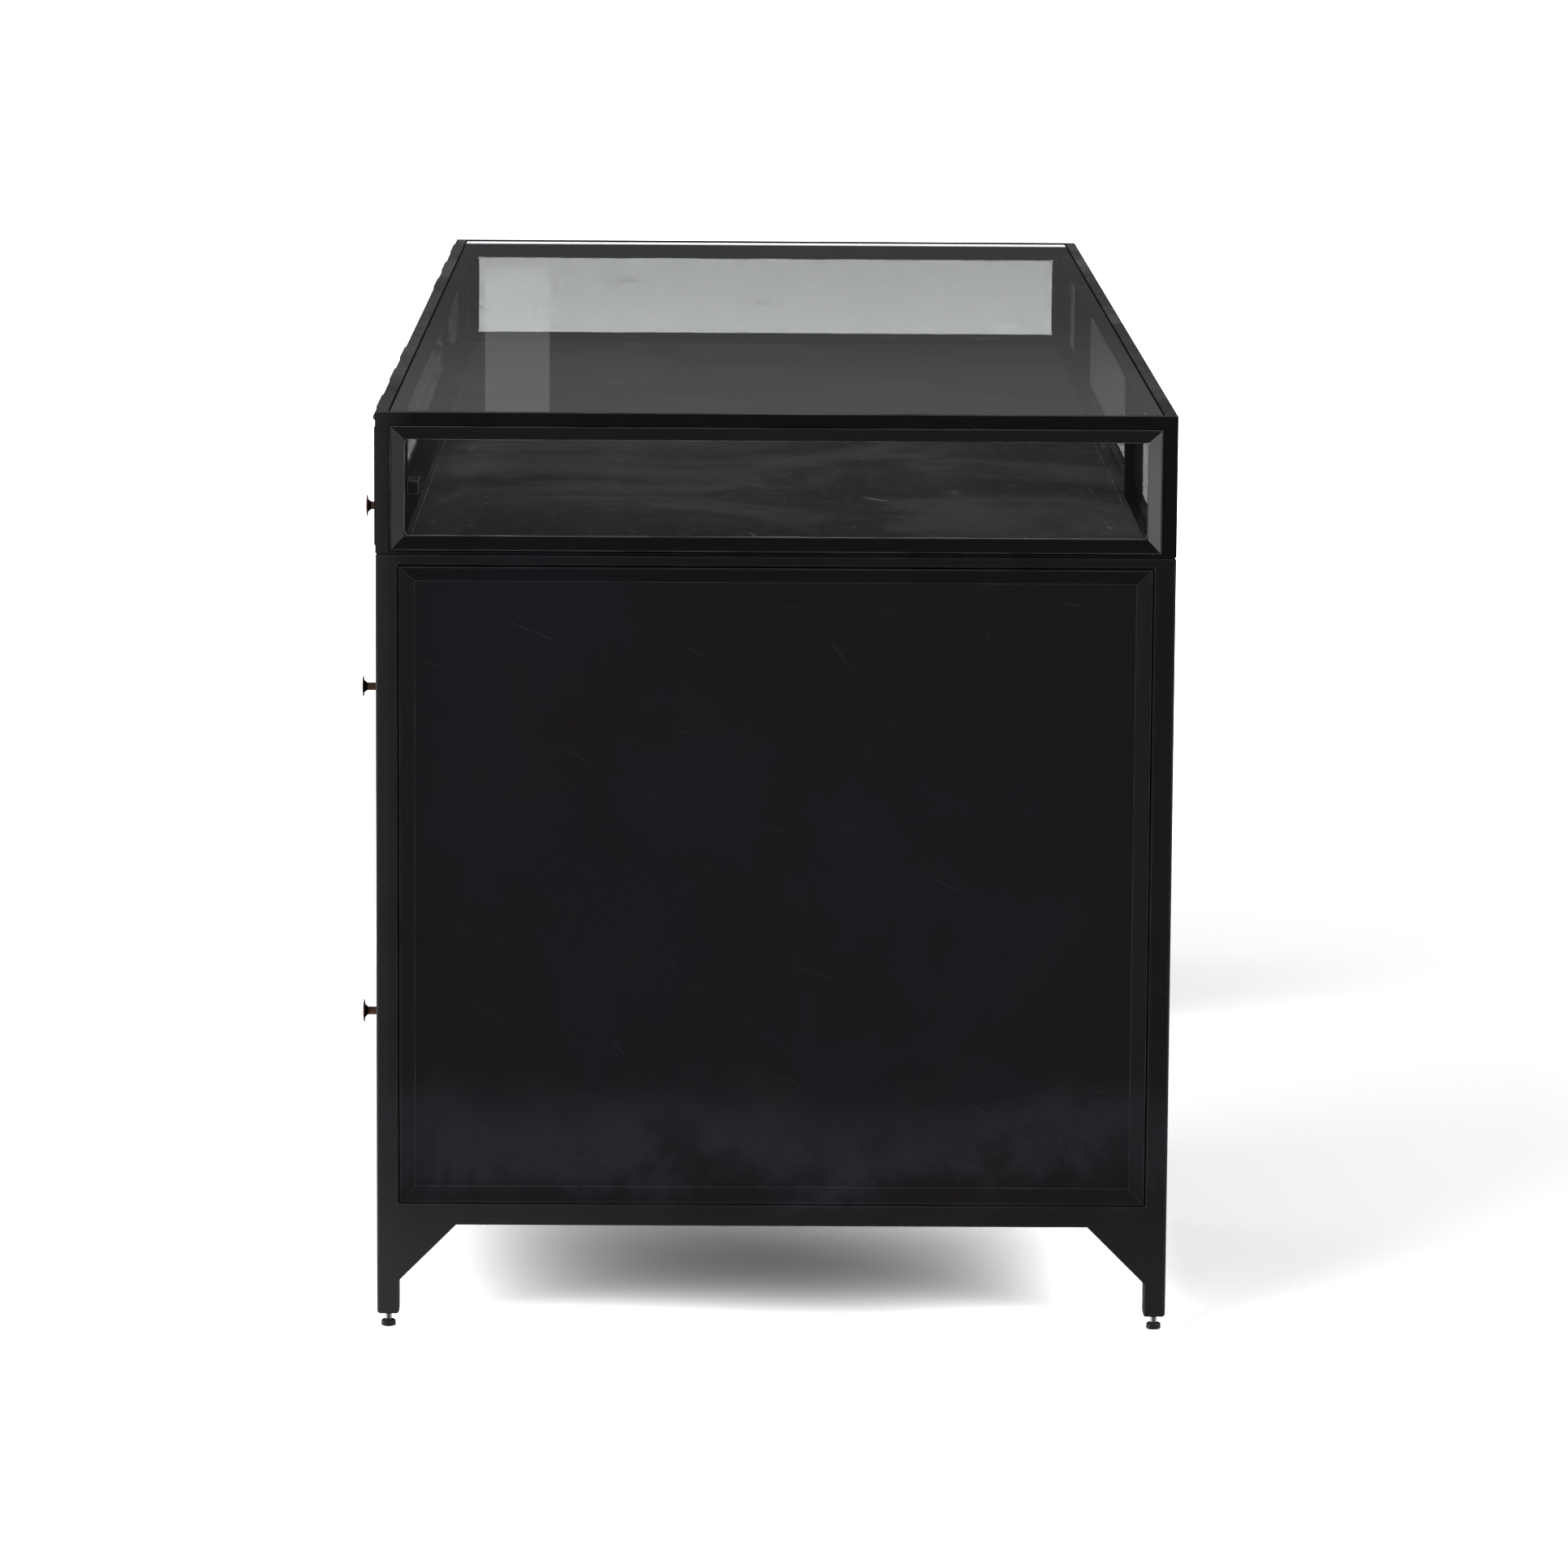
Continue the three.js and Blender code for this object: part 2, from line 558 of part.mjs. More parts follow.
function fixedHingeShape(start) {
  const leafFoot = HINGE_Z + HINGE_NOTCH_RADIUS;
  const leafTop = HEIGHT - OVERLAP;
  const face = [-HALF_DEPTH - GAP - LEAF, -HALF_DEPTH - GAP];
  const leaf = box(start, start + HINGE_LENGTH, ...face, leafFoot, leafTop);
  const pin = rodAlongX(PIN_RADIUS, start, start + HINGE_LENGTH, HINGE_Y, HINGE_Z);
  return joined([leaf, pin, ...knuckleShapes(start, 0, [...face, HINGE_Z, leafFoot + OVERLAP])]);
}

// Moving knuckles and leaf, worked in one piece with the door frame
function doorLeafShape(start) {
  const doorFace = -HALF_DEPTH - DOOR_PROUD;
  const face = [doorFace - LEAF, doorFace + OVERLAP];
  const leafTop = HINGE_Z - HINGE_NOTCH_RADIUS - GAP;
  const leaf = box(start, start + HINGE_LENGTH, ...face, leafTop - LEAF_DROP, leafTop);
  const strap = [doorFace - LEAF, doorFace, leafTop - OVERLAP, HINGE_Z];
  const moving = joined([leaf, ...knuckleShapes(start, 1, strap)]);
  const bore = rodAlongX(BORE_RADIUS, start - OVERLAP, start + HINGE_LENGTH + OVERLAP, HINGE_Y, HINGE_Z);
  return moving.subtract(bore);
}

function doorGroup(bay) {
  const group = new THREE.Group();
  const width = bay.x1 - bay.x0 - 2 * DOOR_GAP;
  const height = WINDOW_HEIGHT - DOOR_FOOT_GAP - DOOR_HEAD_GAP;
  const centreX = (bay.x0 + bay.x1) / 2;
  const centreZ = CASE_FLOOR + DOOR_FOOT_GAP + height / 2;
  const face = -HALF_DEPTH - DOOR_PROUD;
  const knobZ = centreZ - height / 2 + DOOR_BORDER / 2;

  const blank = bevelledRing(width, height, DOOR_LAND, DOOR_BORDER, DOOR_RECESS, DOOR_THICKNESS);
  const boss = lathe([[0, 0], [KNOB_BOSS_RADIUS, 0], [KNOB_BOSS_RADIUS, DOOR_RECESS], [0, DOOR_RECESS]]);
  const rebate = box(
    -width / 2 + DOOR_REBATE, width / 2 - DOOR_REBATE, DOOR_RECESS, DOOR_THICKNESS + OVERLAP,
    -height / 2 + DOOR_REBATE, height / 2 - DOOR_REBATE,
  );
  const plate = blank
    .add(boss.rotate([-90, 0, 0]).translate([0, 0, knobZ - centreZ]))
    .subtract(rebate)
    .translate([centreX, face, centreZ]);
  const leaves = hingeStarts(bay).map(doorLeafShape);
  group.add(piece(`${bay.name}_door_frame`, joined([plate, ...leaves]), iron));

  const paneInset = DOOR_REBATE + SEAM / 2;
  const [paneX, paneZ] = [width / 2 - paneInset, height / 2 - paneInset];
  const paneFront = face + DOOR_RECESS + GAP;
  const pane = box(
    centreX - paneX, centreX + paneX, paneFront, paneFront + DOOR_GLASS, centreZ - paneZ, centreZ + paneZ,
  );
  group.add(piece(`${bay.name}_door_glass`, pane, paneGlass));

  const knob = piece(`${bay.name}_door_knob`, knobShape(DOOR_KNOB_LENGTH), bronze);
  knob.position.set(centreX, face - GAP, knobZ);
  group.add(knob);

  hingeStarts(bay).forEach((start, index) => {
    group.add(piece(`${bay.name}_door_hinge_${index + 1}`, fixedHingeShape(start), nickel));
  });
  return group;
}

// A twin magnet catch behind a mullion, serving the doors on both sides of it
function catchPiece(side, sideX) {
  const front = -HALF_DEPTH + BEAD_THICKNESS + 2 * GAP;
  const foot = CASE_FLOOR + GAP;
  const centreX = sideX * MULLION_X;
  const [x0, x1] = [centreX - CATCH_LENGTH / 2, centreX + CATCH_LENGTH / 2];
  const body = box(x0, x1, front, front + CATCH_DEPTH, foot, foot + CATCH_HEIGHT);
  const slots = [-0.5, 0.5].map((offset) => {
    const middle = centreX + offset * CATCH_LENGTH / 2;
    return box(
      middle - CATCH_SLOT, middle + CATCH_SLOT, front - OVERLAP, front + CATCH_DEPTH / 2,
      foot + PLATE, foot + CATCH_HEIGHT + OVERLAP,
    );
  });
  return piece(`${side}_catch`, cutFrom(body, slots), darkIron);
}

const desk = new THREE.Group();
desk.add(caseGroup());
for (const bay of bays) {
  desk.add(doorGroup(bay));
}
for (const [side, outward] of [['left', -1], ['right', 1]]) {
  desk.add(pedestalGroup(side, outward));
  desk.add(catchPiece(side, outward));
}
// The drawer knobs stand out in front, so the middle of the whole depth lies that much behind
desk.position.y = DRAWER_KNOB_LENGTH / 2;

export default desk;
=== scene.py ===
"""Looks of the glass-topped display desk: materials, eased iron, knobs, feet, sealant, light and camera."""

import json
import math
import random

import bmesh
import bpy
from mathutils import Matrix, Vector


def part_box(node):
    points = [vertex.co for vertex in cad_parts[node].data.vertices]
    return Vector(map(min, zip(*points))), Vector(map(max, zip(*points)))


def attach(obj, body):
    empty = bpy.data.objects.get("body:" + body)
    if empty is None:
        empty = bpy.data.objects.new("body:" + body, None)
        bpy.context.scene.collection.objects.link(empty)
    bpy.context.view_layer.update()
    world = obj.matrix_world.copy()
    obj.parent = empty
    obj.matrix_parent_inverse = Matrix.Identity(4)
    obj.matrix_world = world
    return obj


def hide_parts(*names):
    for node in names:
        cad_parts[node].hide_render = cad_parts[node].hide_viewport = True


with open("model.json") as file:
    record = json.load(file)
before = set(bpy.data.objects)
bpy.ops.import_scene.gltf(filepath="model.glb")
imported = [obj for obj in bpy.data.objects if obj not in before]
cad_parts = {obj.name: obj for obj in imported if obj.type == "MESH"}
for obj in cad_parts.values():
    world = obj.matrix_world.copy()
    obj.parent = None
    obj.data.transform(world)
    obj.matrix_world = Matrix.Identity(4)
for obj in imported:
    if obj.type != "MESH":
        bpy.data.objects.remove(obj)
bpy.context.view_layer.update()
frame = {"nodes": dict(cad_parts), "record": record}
scene = bpy.context.scene
scene.view_settings.view_transform = "Standard"

MM = 0.001

# Camera at the photo's place, in metres and radians: the near end seen square on, a little from above
CAMERA_PLACE = (6.87522, -0.03204, 1.41287)
CAMERA_TURN = (1.41468, -0.00643, 1.56320)
LENS = 162.95
SENSOR_WIDTH = 36
VIEW_REACH = 400


def make_camera():
    data = bpy.data.cameras.new("camera")
    data.sensor_width = SENSOR_WIDTH
    data.lens = LENS
    data.clip_end = VIEW_REACH
    cam = bpy.data.objects.new("camera", data)
    cam.location = CAMERA_PLACE
    cam.rotation_euler = CAMERA_TURN
    scene.collection.objects.link(cam)
    scene.camera = cam


# Node helpers
class Nodes:
    """A small writer for one node tree: every call adds a node and returns its output."""

    def __init__(self, tree):
        self.tree = tree
        tree.nodes.clear()

    def add(self, kind, inputs=None, **settings):
        node = self.tree.nodes.new(kind)
        for name, value in settings.items():
            setattr(node, name, value)
        for name, value in (inputs or {}).items():
            self.put(node.inputs[name], value)
        return node

    def put(self, socket, value):
        if isinstance(value, bpy.types.NodeSocket):
            self.tree.links.new(value, socket)
        else:
            socket.default_value = value

    def math(self, operation, a, b=0.0, clamp=False):
        node = self.add("ShaderNodeMath", {0: a, 1: b}, operation=operation, use_clamp=clamp)
        return node.outputs[0]

    def plus(self, a, b):
        return self.math("ADD", a, b)

    def minus(self, a, b):
        return self.math("SUBTRACT", a, b)

    def times(self, a, b):
        return self.math("MULTIPLY", a, b)

    def larger(self, a, b):
        return self.math("MAXIMUM", a, b)

    def dot(self, a, b):
        return self.add("ShaderNodeVectorMath", {0: a, 1: b}, operation="DOT_PRODUCT").outputs["Value"]

    def scaled(self, vector, factor):
        node = self.add("ShaderNodeVectorMath", {0: vector, "Scale": factor}, operation="SCALE")
        return node.outputs["Vector"]

    def ramp(self, value, low, high, to_low=0.0, to_high=1.0):
        """value mapped smoothly from low..high to to_low..to_high, held at both ends."""
        node = self.add("ShaderNodeMapRange", {0: value, 1: low, 2: high, 3: to_low, 4: to_high},
                        interpolation_type="SMOOTHSTEP")
        return node.outputs[0]

    def mix(self, factor, a, b):
        node = self.add("ShaderNodeMix", data_type="RGBA")
        self.put(node.inputs["Factor"], factor)
        self.put(node.inputs["A"], a)
        self.put(node.inputs["B"], b)
        return node.outputs["Result"]

    def stretched(self, scale, turn=(0, 0, 0)):
        """Object coordinates, turned and scaled, so that a pattern runs along one direction."""
        coordinates = self.add("ShaderNodeTexCoord").outputs["Object"]
        node = self.add("ShaderNodeMapping", {"Vector": coordinates, "Rotation": turn, "Scale": scale})
        return node.outputs[0]

    def noise(self, vector, scale, detail=4.0, roughness=0.55, distortion=0.0):
        inputs = {"Vector": vector, "Scale": scale, "Detail": detail, "Roughness": roughness,
                  "Distortion": distortion}
        return self.add("ShaderNodeTexNoise", inputs).outputs["Fac"]

    def place(self, axis):
        """The point's place along one axis of the frame, with the desk at rest."""
        coordinates = self.add("ShaderNodeTexCoord").outputs["Object"]
        return self.add("ShaderNodeSeparateXYZ", {0: coordinates}).outputs[axis]

    def scratches(self, seed, spacing, fineness):
        """Thin curved lines, sparse and broken: 1 on a scratch and 0 off it."""
        where = self.stretched((1, 1, 1), (seed, 1.7 * seed, 0.6 * seed))
        lines = self.add("ShaderNodeTexWave", {"Vector": where, "Scale": spacing, "Distortion": 14.0,
                                               "Detail": 1.5, "Detail Scale": 0.5}).outputs["Fac"]
        thin = self.ramp(lines, fineness, 1.0)
        broken = self.ramp(self.noise(where, 19.0, 2.0), 0.60, 0.68)
        return self.times(thin, broken)

    def edges(self, radius):
        """1 close to a sharp edge and 0 on flat ground."""
        rounded = self.add("ShaderNodeBevel", {"Radius": radius}, samples=4).outputs[0]
        true_normal = self.add("ShaderNodeNewGeometry").outputs["Normal"]
        return self.ramp(self.minus(1.0, self.dot(rounded, true_normal)), 0.003, 0.045)

    def bump(self, height, distance, normal=None):
        inputs = {"Height": height, "Distance": distance, "Strength": 1.0}
        if normal is not None:
            inputs["Normal"] = normal
        return self.add("ShaderNodeBump", inputs).outputs[0]

    def surface(self, shader):
        self.tree.links.new(shader, self.add("ShaderNodeOutputMaterial").inputs["Surface"])

    def principled(self, **sockets):
        node = self.add("ShaderNodeBsdfPrincipled")
        for name, value in sockets.items():
            self.put(node.inputs[name.replace("_", " ").title().replace("Ior", "IOR")], value)
        return node.outputs[0]


def material(name):
    made = bpy.data.materials.new(name)
    made.use_nodes = True
    return made, Nodes(made.node_tree)


# Where the wax has clouded on the end panels: (across, up) and radius in metres, strength
CLOUDED = (((-0.205, 0.620), 0.120, 0.55), ((-0.055, 0.480), 0.070, 0.9), ((0.085, 0.430), 0.035, 0.8),
           ((-0.230, 0.470), 0.090, 0.5), ((-0.120, 0.340), 0.110, 0.35))


def clouded_patches(n, wander):
    """Soft patches at set places on the end faces, their outlines broken up by a noise."""
    coordinates = n.add("ShaderNodeTexCoord").outputs["Object"]
    parts = n.add("ShaderNodeSeparateXYZ", {0: coordinates})
    across = n.plus(parts.outputs["Y"], n.times(wander, 0.16))
    up = n.minus(parts.outputs["Z"], n.times(wander, 0.12))
    point = n.add("ShaderNodeCombineXYZ", {"X": across, "Y": up}).outputs[0]
    total = 0.0
    for (y, z), radius, strength in CLOUDED:
        distance = n.add("ShaderNodeVectorMath", {0: point, 1: (y, z, 0.0)}, operation="DISTANCE")
        away = distance.outputs["Value"]
        total = n.plus(total, n.ramp(away, radius * 0.2, radius * 1.3, strength, 0.0))
    return total


# Iron: its blacks, what lies on it, what wear bares, and the painted light on its edges and front parts
BLACK, VIOLET, BROWN = (0.0100, 0.0094, 0.0106, 1), (0.0118, 0.0112, 0.0168, 1), (0.0130, 0.0096, 0.0090, 1)
DUST, GRAIN = (0.0225, 0.0215, 0.0280, 1), (0.020, 0.019, 0.020, 1)
# Painted light: the front legs paler as if lit from the front, and low parts paler, partly dust and partly
# painted light
LIT_FRONT_LEG, DUST_AND_LIGHT_LOW = (0.035, 0.032, 0.036, 1), (0.044, 0.042, 0.044, 1)
# Pale edges: partly bare worn metal and partly a painted highlight along the edges
SCRATCHED, BARE_EDGE_AND_HIGHLIGHT = (0.09, 0.085, 0.083, 1), (0.11, 0.105, 0.105, 1)

# Heights over which the low dust comes and goes, and places over which the painted paleness grows, in metres
DUST_FADES_IN, DUST_FADES_OUT = (0.115, 0.165), (0.180, 0.235)
TO_FRONT_LEG, TO_FLOOR, TO_FRONT = (-0.29, -0.335), (0.20, 0.02), (0.0, -0.33)


def iron_material(name, gloss, polish, tone, edge_paleness, lightened=False):
    """Blackened iron under wax: soft clouds of violet and brown, dust low down, pale edges, fine scratches.

    gloss is the mean roughness, polish the specular level, tone scales the colour and edge_paleness says how
    pale the edges are, partly bare worn metal and partly a painted highlight. A lightened frame is paler on
    its front legs, a painted highlight, and toward the floor, partly dust and partly painted light."""
    made, n = material(name)
    where = n.stretched((1, 1, 1))
    wide = n.noise(where, 2.4, 5.0, 0.6, 0.6)
    fine = n.noise(where, 15.0, 7.0, 0.65, 0.3)
    grain = n.noise(where, 900.0, 3.0, 0.6)
    uneven = n.minus(fine, 0.5)
    cloud = n.ramp(n.plus(n.times(wide, 0.6), n.times(fine, 0.4)), 0.50, 0.64)
    cloud = n.math("ADD", n.times(cloud, 0.6), clouded_patches(n, uneven), clamp=True)
    brown = n.ramp(n.noise(n.stretched((1, 1, 1), (0.7, 0.2, 1.1)), 7.0, 6.0, 0.65, 0.5), 0.48, 0.62)
    level = n.plus(n.place("Z"), n.times(n.minus(wide, 0.5), 0.16))
    level = n.plus(level, n.times(uneven, 0.10))
    dust = n.times(n.ramp(level, *DUST_FADES_IN), n.ramp(level, *DUST_FADES_OUT, 1.0, 0.0))
    dust = n.times(dust, n.ramp(fine, 0.36, 0.60, 0.45, 1.0))
    colour = n.mix(cloud, BLACK, VIOLET)
    colour = n.mix(n.times(brown, 0.55), colour, BROWN)
    colour = n.mix(n.times(dust, 0.75), colour, DUST)
    colour = n.mix(n.ramp(grain, 0.62, 0.75, 0.0, 0.22), colour, GRAIN)
    colour = n.scaled(colour, tone)
    # Painted light: paler front legs as if lit from the front, and paler low down, partly dust and partly
    # painted light
    if lightened:
        colour = n.mix(n.times(n.ramp(n.place("Y"), *TO_FRONT_LEG), 0.65), colour, LIT_FRONT_LEG)
        low_down = n.times(n.ramp(n.place("Z"), *TO_FLOOR), n.ramp(n.place("Y"), *TO_FRONT, 0.3, 0.9))
        colour = n.mix(low_down, colour, DUST_AND_LIGHT_LOW)
    scratch = n.larger(n.scratches(0.9, 5.2, 0.9992), n.scratches(2.3, 3.1, 0.9996))
    # Paler edges: partly bare worn metal, partly a painted highlight for the light lines that edges catch
    worn = n.times(n.edges(1.2 * MM), n.ramp(fine, 0.34, 0.58, 0.35, 1.0))
    colour = n.mix(n.times(scratch, 0.16), colour, SCRATCHED)
    colour = n.mix(n.times(worn, edge_paleness), colour, BARE_EDGE_AND_HIGHLIGHT)
    rough = n.plus(n.ramp(wide, 0.35, 0.65, gloss - 0.05, gloss + 0.06), n.times(dust, 0.12))
    rough = n.plus(rough, n.ramp(fine, 0.3, 0.7, -0.03, 0.03))
    waves = n.plus(n.noise(where, 9.0, 2.0), n.times(grain, 0.02))
    n.surface(n.principled(base_color=colour, metallic=0.0, roughness=rough, normal=n.bump(waves, 0.6 * MM),
                           specular_ior_level=polish))
    return made


def sheet_material(name, dark, light, rough_low, rough_high, metallic=0.0, lightened=None):
    """Plain rolled sheet or cast metal with soft blotches, fine scratches and dust.

    lightened is the grey that strongly worn edges show. Without it the edges are only a little paler."""
    made, n = material(name)
    where = n.stretched((1, 1, 1))
    wide = n.noise(where, 5.0, 5.0, 0.6, 0.4)
    speck = n.noise(where, 420.0, 2.0, 0.5)
    colour = n.mix(n.ramp(wide, 0.35, 0.68), dark, light)
    scratch = n.larger(n.scratches(1.4, 6.0, 0.995), n.scratches(3.3, 9.0, 0.996))
    lighter = tuple(min(1.0, 2.2 * c + 0.01) for c in light[:3]) + (1,)
    colour = n.mix(n.times(scratch, 0.4), colour, lighter)
    colour = n.mix(n.ramp(speck, 0.66, 0.78, 0.0, 0.35), colour, lighter)
    bare, edge_paleness = (lighter, 0.4) if lightened is None else ((lightened, lightened, lightened, 1), 0.9)
    colour = n.mix(n.times(n.edges(0.8 * MM), edge_paleness), colour, bare)
    rough = n.ramp(wide, 0.3, 0.7, rough_low, rough_high)
    bump = n.bump(n.plus(n.times(speck, 0.01), n.noise(where, 12.0, 2.0)), 0.4 * MM)
    n.surface(n.principled(base_color=colour, metallic=metallic, roughness=rough, normal=bump))
    return made


LINER, LINER_STAIN = (0.046, 0.0455, 0.0490, 1), (0.088, 0.087, 0.089, 1)
LINER_WORN, LINER_DUST = (0.100, 0.099, 0.102, 1), (0.24, 0.24, 0.24, 1)


def liner_material():
    """Dull floor liner of the case: soft stains, a few pale dust specks and long fine scratches."""
    made, n = material("liner_steel")
    where = n.stretched((1, 1, 1))
    wide = n.noise(where, 3.4, 5.0, 0.6, 0.7)
    fine = n.noise(n.stretched((1, 2.6, 1)), 22.0, 6.0, 0.65, 0.4)
    colour = n.mix(n.ramp(wide, 0.40, 0.62), LINER, LINER_STAIN)
    colour = n.mix(n.ramp(fine, 0.50, 0.72, 0.0, 0.35), colour, LINER_WORN)
    speck = n.ramp(n.noise(where, 210.0, 1.0, 0.4), 0.74, 0.80)
    scratch = n.larger(n.scratches(1.4, 3.0, 0.9990), n.scratches(3.3, 2.2, 0.9994))
    colour = n.mix(n.times(n.larger(speck, scratch), 0.5), colour, LINER_DUST)
    rough = n.plus(n.ramp(wide, 0.3, 0.7, 0.50, 0.66), n.ramp(fine, 0.4, 0.7, 0.0, 0.08))
    n.surface(n.principled(base_color=colour, metallic=0.0, roughness=rough, normal=n.bump(fine, 0.2 * MM),
                           specular_ior_level=0.0))
    return made


BRONZE, COPPER = (0.035, 0.026, 0.024, 1), (0.66, 0.36, 0.24, 1)


def knob_material():
    """Aged copper-brown knob, dark in the throat and foot; copper on the cap's face and neck is wear and
    painted highlight.
    """
    made, n = material("aged_bronze")
    where = n.stretched((1, 1, 1))
    fine = n.noise(where, 160.0, 5.0, 0.6, 0.3)
    rub_and_highlight = n.add("ShaderNodeAttribute", attribute_name="rub_and_highlight").outputs["Fac"]
    # Copper where the mask is high: rubbed wear and a painted highlight
    lightened = n.times(n.ramp(rub_and_highlight, 0.15, 0.85), n.ramp(fine, 0.25, 0.6, 0.6, 1.0))
    colour = n.mix(lightened, BRONZE, COPPER)
    rough = n.ramp(lightened, 0.0, 1.0, 0.46, 0.30)
    n.surface(n.principled(base_color=colour, metallic=0.85, roughness=rough,
                           normal=n.bump(fine, 0.12 * MM)))
    return made


def plated_material(name, clean, worn, rough):
    """Worn plating: brushed along one way, darker in its blotches, bright on its edges."""
    made, n = material(name)
    brushed = n.noise(n.stretched((12, 300, 300)), 4.0, 3.0, 0.6)
    blotch = n.noise(n.stretched((1, 1, 1)), 34.0, 5.0, 0.6, 0.4)
    colour = n.mix(n.ramp(blotch, 0.42, 0.66), clean, worn)
    bright = tuple(min(1.0, 1.25 * c) for c in clean[:3]) + (1,)
    colour = n.mix(n.times(n.edges(0.6 * MM), 0.6), colour, bright)
    roughness = n.plus(n.ramp(brushed, 0.3, 0.7, rough - 0.07, rough + 0.07),
                       n.ramp(blotch, 0.45, 0.7, 0.0, 0.12))
    n.surface(n.principled(base_color=colour, metallic=0.9, roughness=roughness,
                           normal=n.bump(brushed, 0.06 * MM)))
    return made


PANE_DUST, PANE_SHADE = (0.55, 0.56, 0.57, 1), (0.93, 0.95, 0.94, 1)


def glass_material(name, tint, haze):
    """Clear pane with smudges, wiped arcs and hair scratches. Lamplight and bounced light go straight on."""
    made, n = material(name)
    where = n.stretched((1, 1, 1))
    wiped = n.noise(n.stretched((1.3, 6.0, 6.0), (0.0, 0.0, 0.35)), 3.0, 5.0, 0.6, 0.5)
    smudge = n.ramp(n.noise(where, 4.2, 6.0, 0.6, 1.2), 0.45, 0.75)
    scratch = n.larger(n.scratches(0.5, 4.6, 0.9975), n.scratches(1.9, 3.4, 0.998))
    veil = n.plus(n.times(n.times(smudge, wiped), haze), n.times(scratch, 0.16))
    clear = n.principled(base_color=tint, roughness=n.ramp(smudge, 0.6, 1.0, 0.0, 0.004), ior=1.5,
                         transmission_weight=1.0)
    dust = n.add("ShaderNodeBsdfDiffuse", {"Color": PANE_DUST}).outputs[0]
    hazy = n.add("ShaderNodeMixShader", {0: veil, 1: clear, 2: dust}).outputs[0]
    path = n.add("ShaderNodeLightPath")
    passes = n.larger(path.outputs["Is Shadow Ray"], path.outputs["Is Diffuse Ray"])
    open_pane = n.add("ShaderNodeBsdfTransparent", {"Color": PANE_SHADE}).outputs[0]
    n.surface(n.add("ShaderNodeMixShader", {0: passes, 1: hazy, 2: open_pane}).outputs[0])
    return made


def seal_material(name, clean, dirty):
    """A thin line of glazing sealant, dirty in places."""
    made, n = material(name)
    dirt = n.noise(n.stretched((1, 1, 1)), 26.0, 5.0, 0.6)
    colour = n.mix(n.ramp(dirt, 0.4, 0.7), clean, dirty)
    n.surface(n.principled(base_color=colour, roughness=n.ramp(dirt, 0.3, 0.7, 0.4, 0.6),
                           normal=n.bump(dirt, 0.3 * MM)))
    return made


# Heights between which a foot's dark pad ends and its bright stem starts
PAD_TO_STEM = (5.85 * MM, 6.0 * MM)
PAD_DARK, PAD_DUSTY = (0.012, 0.012, 0.013, 1), (0.035, 0.035, 0.036, 1)
STEM_BRIGHT, STEM_DULL = (0.75, 0.75, 0.77, 1), (0.45, 0.45, 0.46, 1)


def foot_material():
    """Levelling foot: dark moulded pad, bright threaded stem."""
    made, n = material("levelling_foot")
    blotch = n.noise(n.stretched((1, 1, 1)), 160.0, 4.0, 0.6)
    stem = n.ramp(n.place("Z"), *PAD_TO_STEM)
    pad = n.mix(blotch, PAD_DARK, PAD_DUSTY)
    steel = n.mix(blotch, STEM_BRIGHT, STEM_DULL)
    n.surface(n.principled(base_color=n.mix(stem, pad, steel), metallic=n.times(stem, 0.9),
                           roughness=n.ramp(stem, 0.0, 1.0, 0.55, 0.25), normal=n.bump(blotch, 0.1 * MM)))
    return made


# The floor as the eye sees it: its glare, and the deepest line of the shadow under the desk, which is askew
FLOOR_GLARE = (2.65, 2.64, 2.62)
FLOOR, FLOOR_SPECK, FLOOR_MIRRORED = (0.84, 0.84, 0.84, 1), (0.87, 0.87, 0.87, 1), (0.03, 0.03, 0.03, 1)
SHADOW_X, SHADOW_Y, SHADOW_SLANT = 0.72, 0.02, 0.40


def floor_material():
    """White studio floor, overexposed to the eye as in the photo, plain white to light that bounces off it.

    Seen by way of a pane's inner reflection it is as dark as the rest of the mirrored room. Under the desk
    the shadow is partly painted, deepest in the middle, and beyond the far end the floor is painted brighter."""
    made, n = material("pale_floor")
    speck = n.noise(n.stretched((1, 1, 1)), 60.0, 3.0)
    plain = n.mix(speck, FLOOR, FLOOR_SPECK)
    # Painted shadow: the floor's colour is raised by place, beside the deepest line and beyond the far end
    along, across = n.place("X"), n.place("Y")
    skewed = n.minus(across, n.times(n.minus(along, SHADOW_X), SHADOW_SLANT))
    lift = n.plus(n.ramp(skewed, -0.30, SHADOW_Y, 0.60, 0.0), n.ramp(skewed, SHADOW_Y, 0.30, 0.0, 0.95))
    lift = n.times(lift, n.ramp(across, 0.29, 0.39, 1.0, 0.0))
    lift = n.plus(lift, n.ramp(across, -0.42, -0.62, 0.05, 0.4))
    lift = n.times(lift, n.ramp(along, -2.5, -1.3))
    lift = n.plus(lift, n.ramp(along, -3.5, -1.3, 1.9, 1.0))
    bright = n.scaled(FLOOR_GLARE, lift)
    path = n.add("ShaderNodeLightPath")
    onward = n.larger(path.outputs["Is Camera Ray"], path.outputs["Is Transmission Ray"])
    bounced = n.plus(path.outputs["Glossy Depth"], path.outputs["Diffuse Depth"])
    looked_at = n.times(onward, n.math("LESS_THAN", bounced, 0.5))
    mirrored = n.times(onward, n.math("GREATER_THAN", bounced, 0.5))
    colour = n.mix(mirrored, n.mix(looked_at, plain, bright), FLOOR_MIRRORED)
    n.surface(n.add("ShaderNodeBsdfDiffuse", {"Color": colour}).outputs[0])
    return made


# Pieces
def new_piece(name, mesh, look, body, smooth=True):
    piece = bpy.data.objects.new(name, mesh)
    scene.collection.objects.link(piece)
    mesh.materials.append(look)
    if smooth:
        for polygon in mesh.polygons:
            polygon.use_smooth = True
    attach(piece, body)
    return piece


def finished_mesh(name, made):
    bmesh.ops.recalc_face_normals(made, faces=made.faces)
    mesh = bpy.data.meshes.new(name)
    made.to_mesh(mesh)
    made.free()
    return mesh


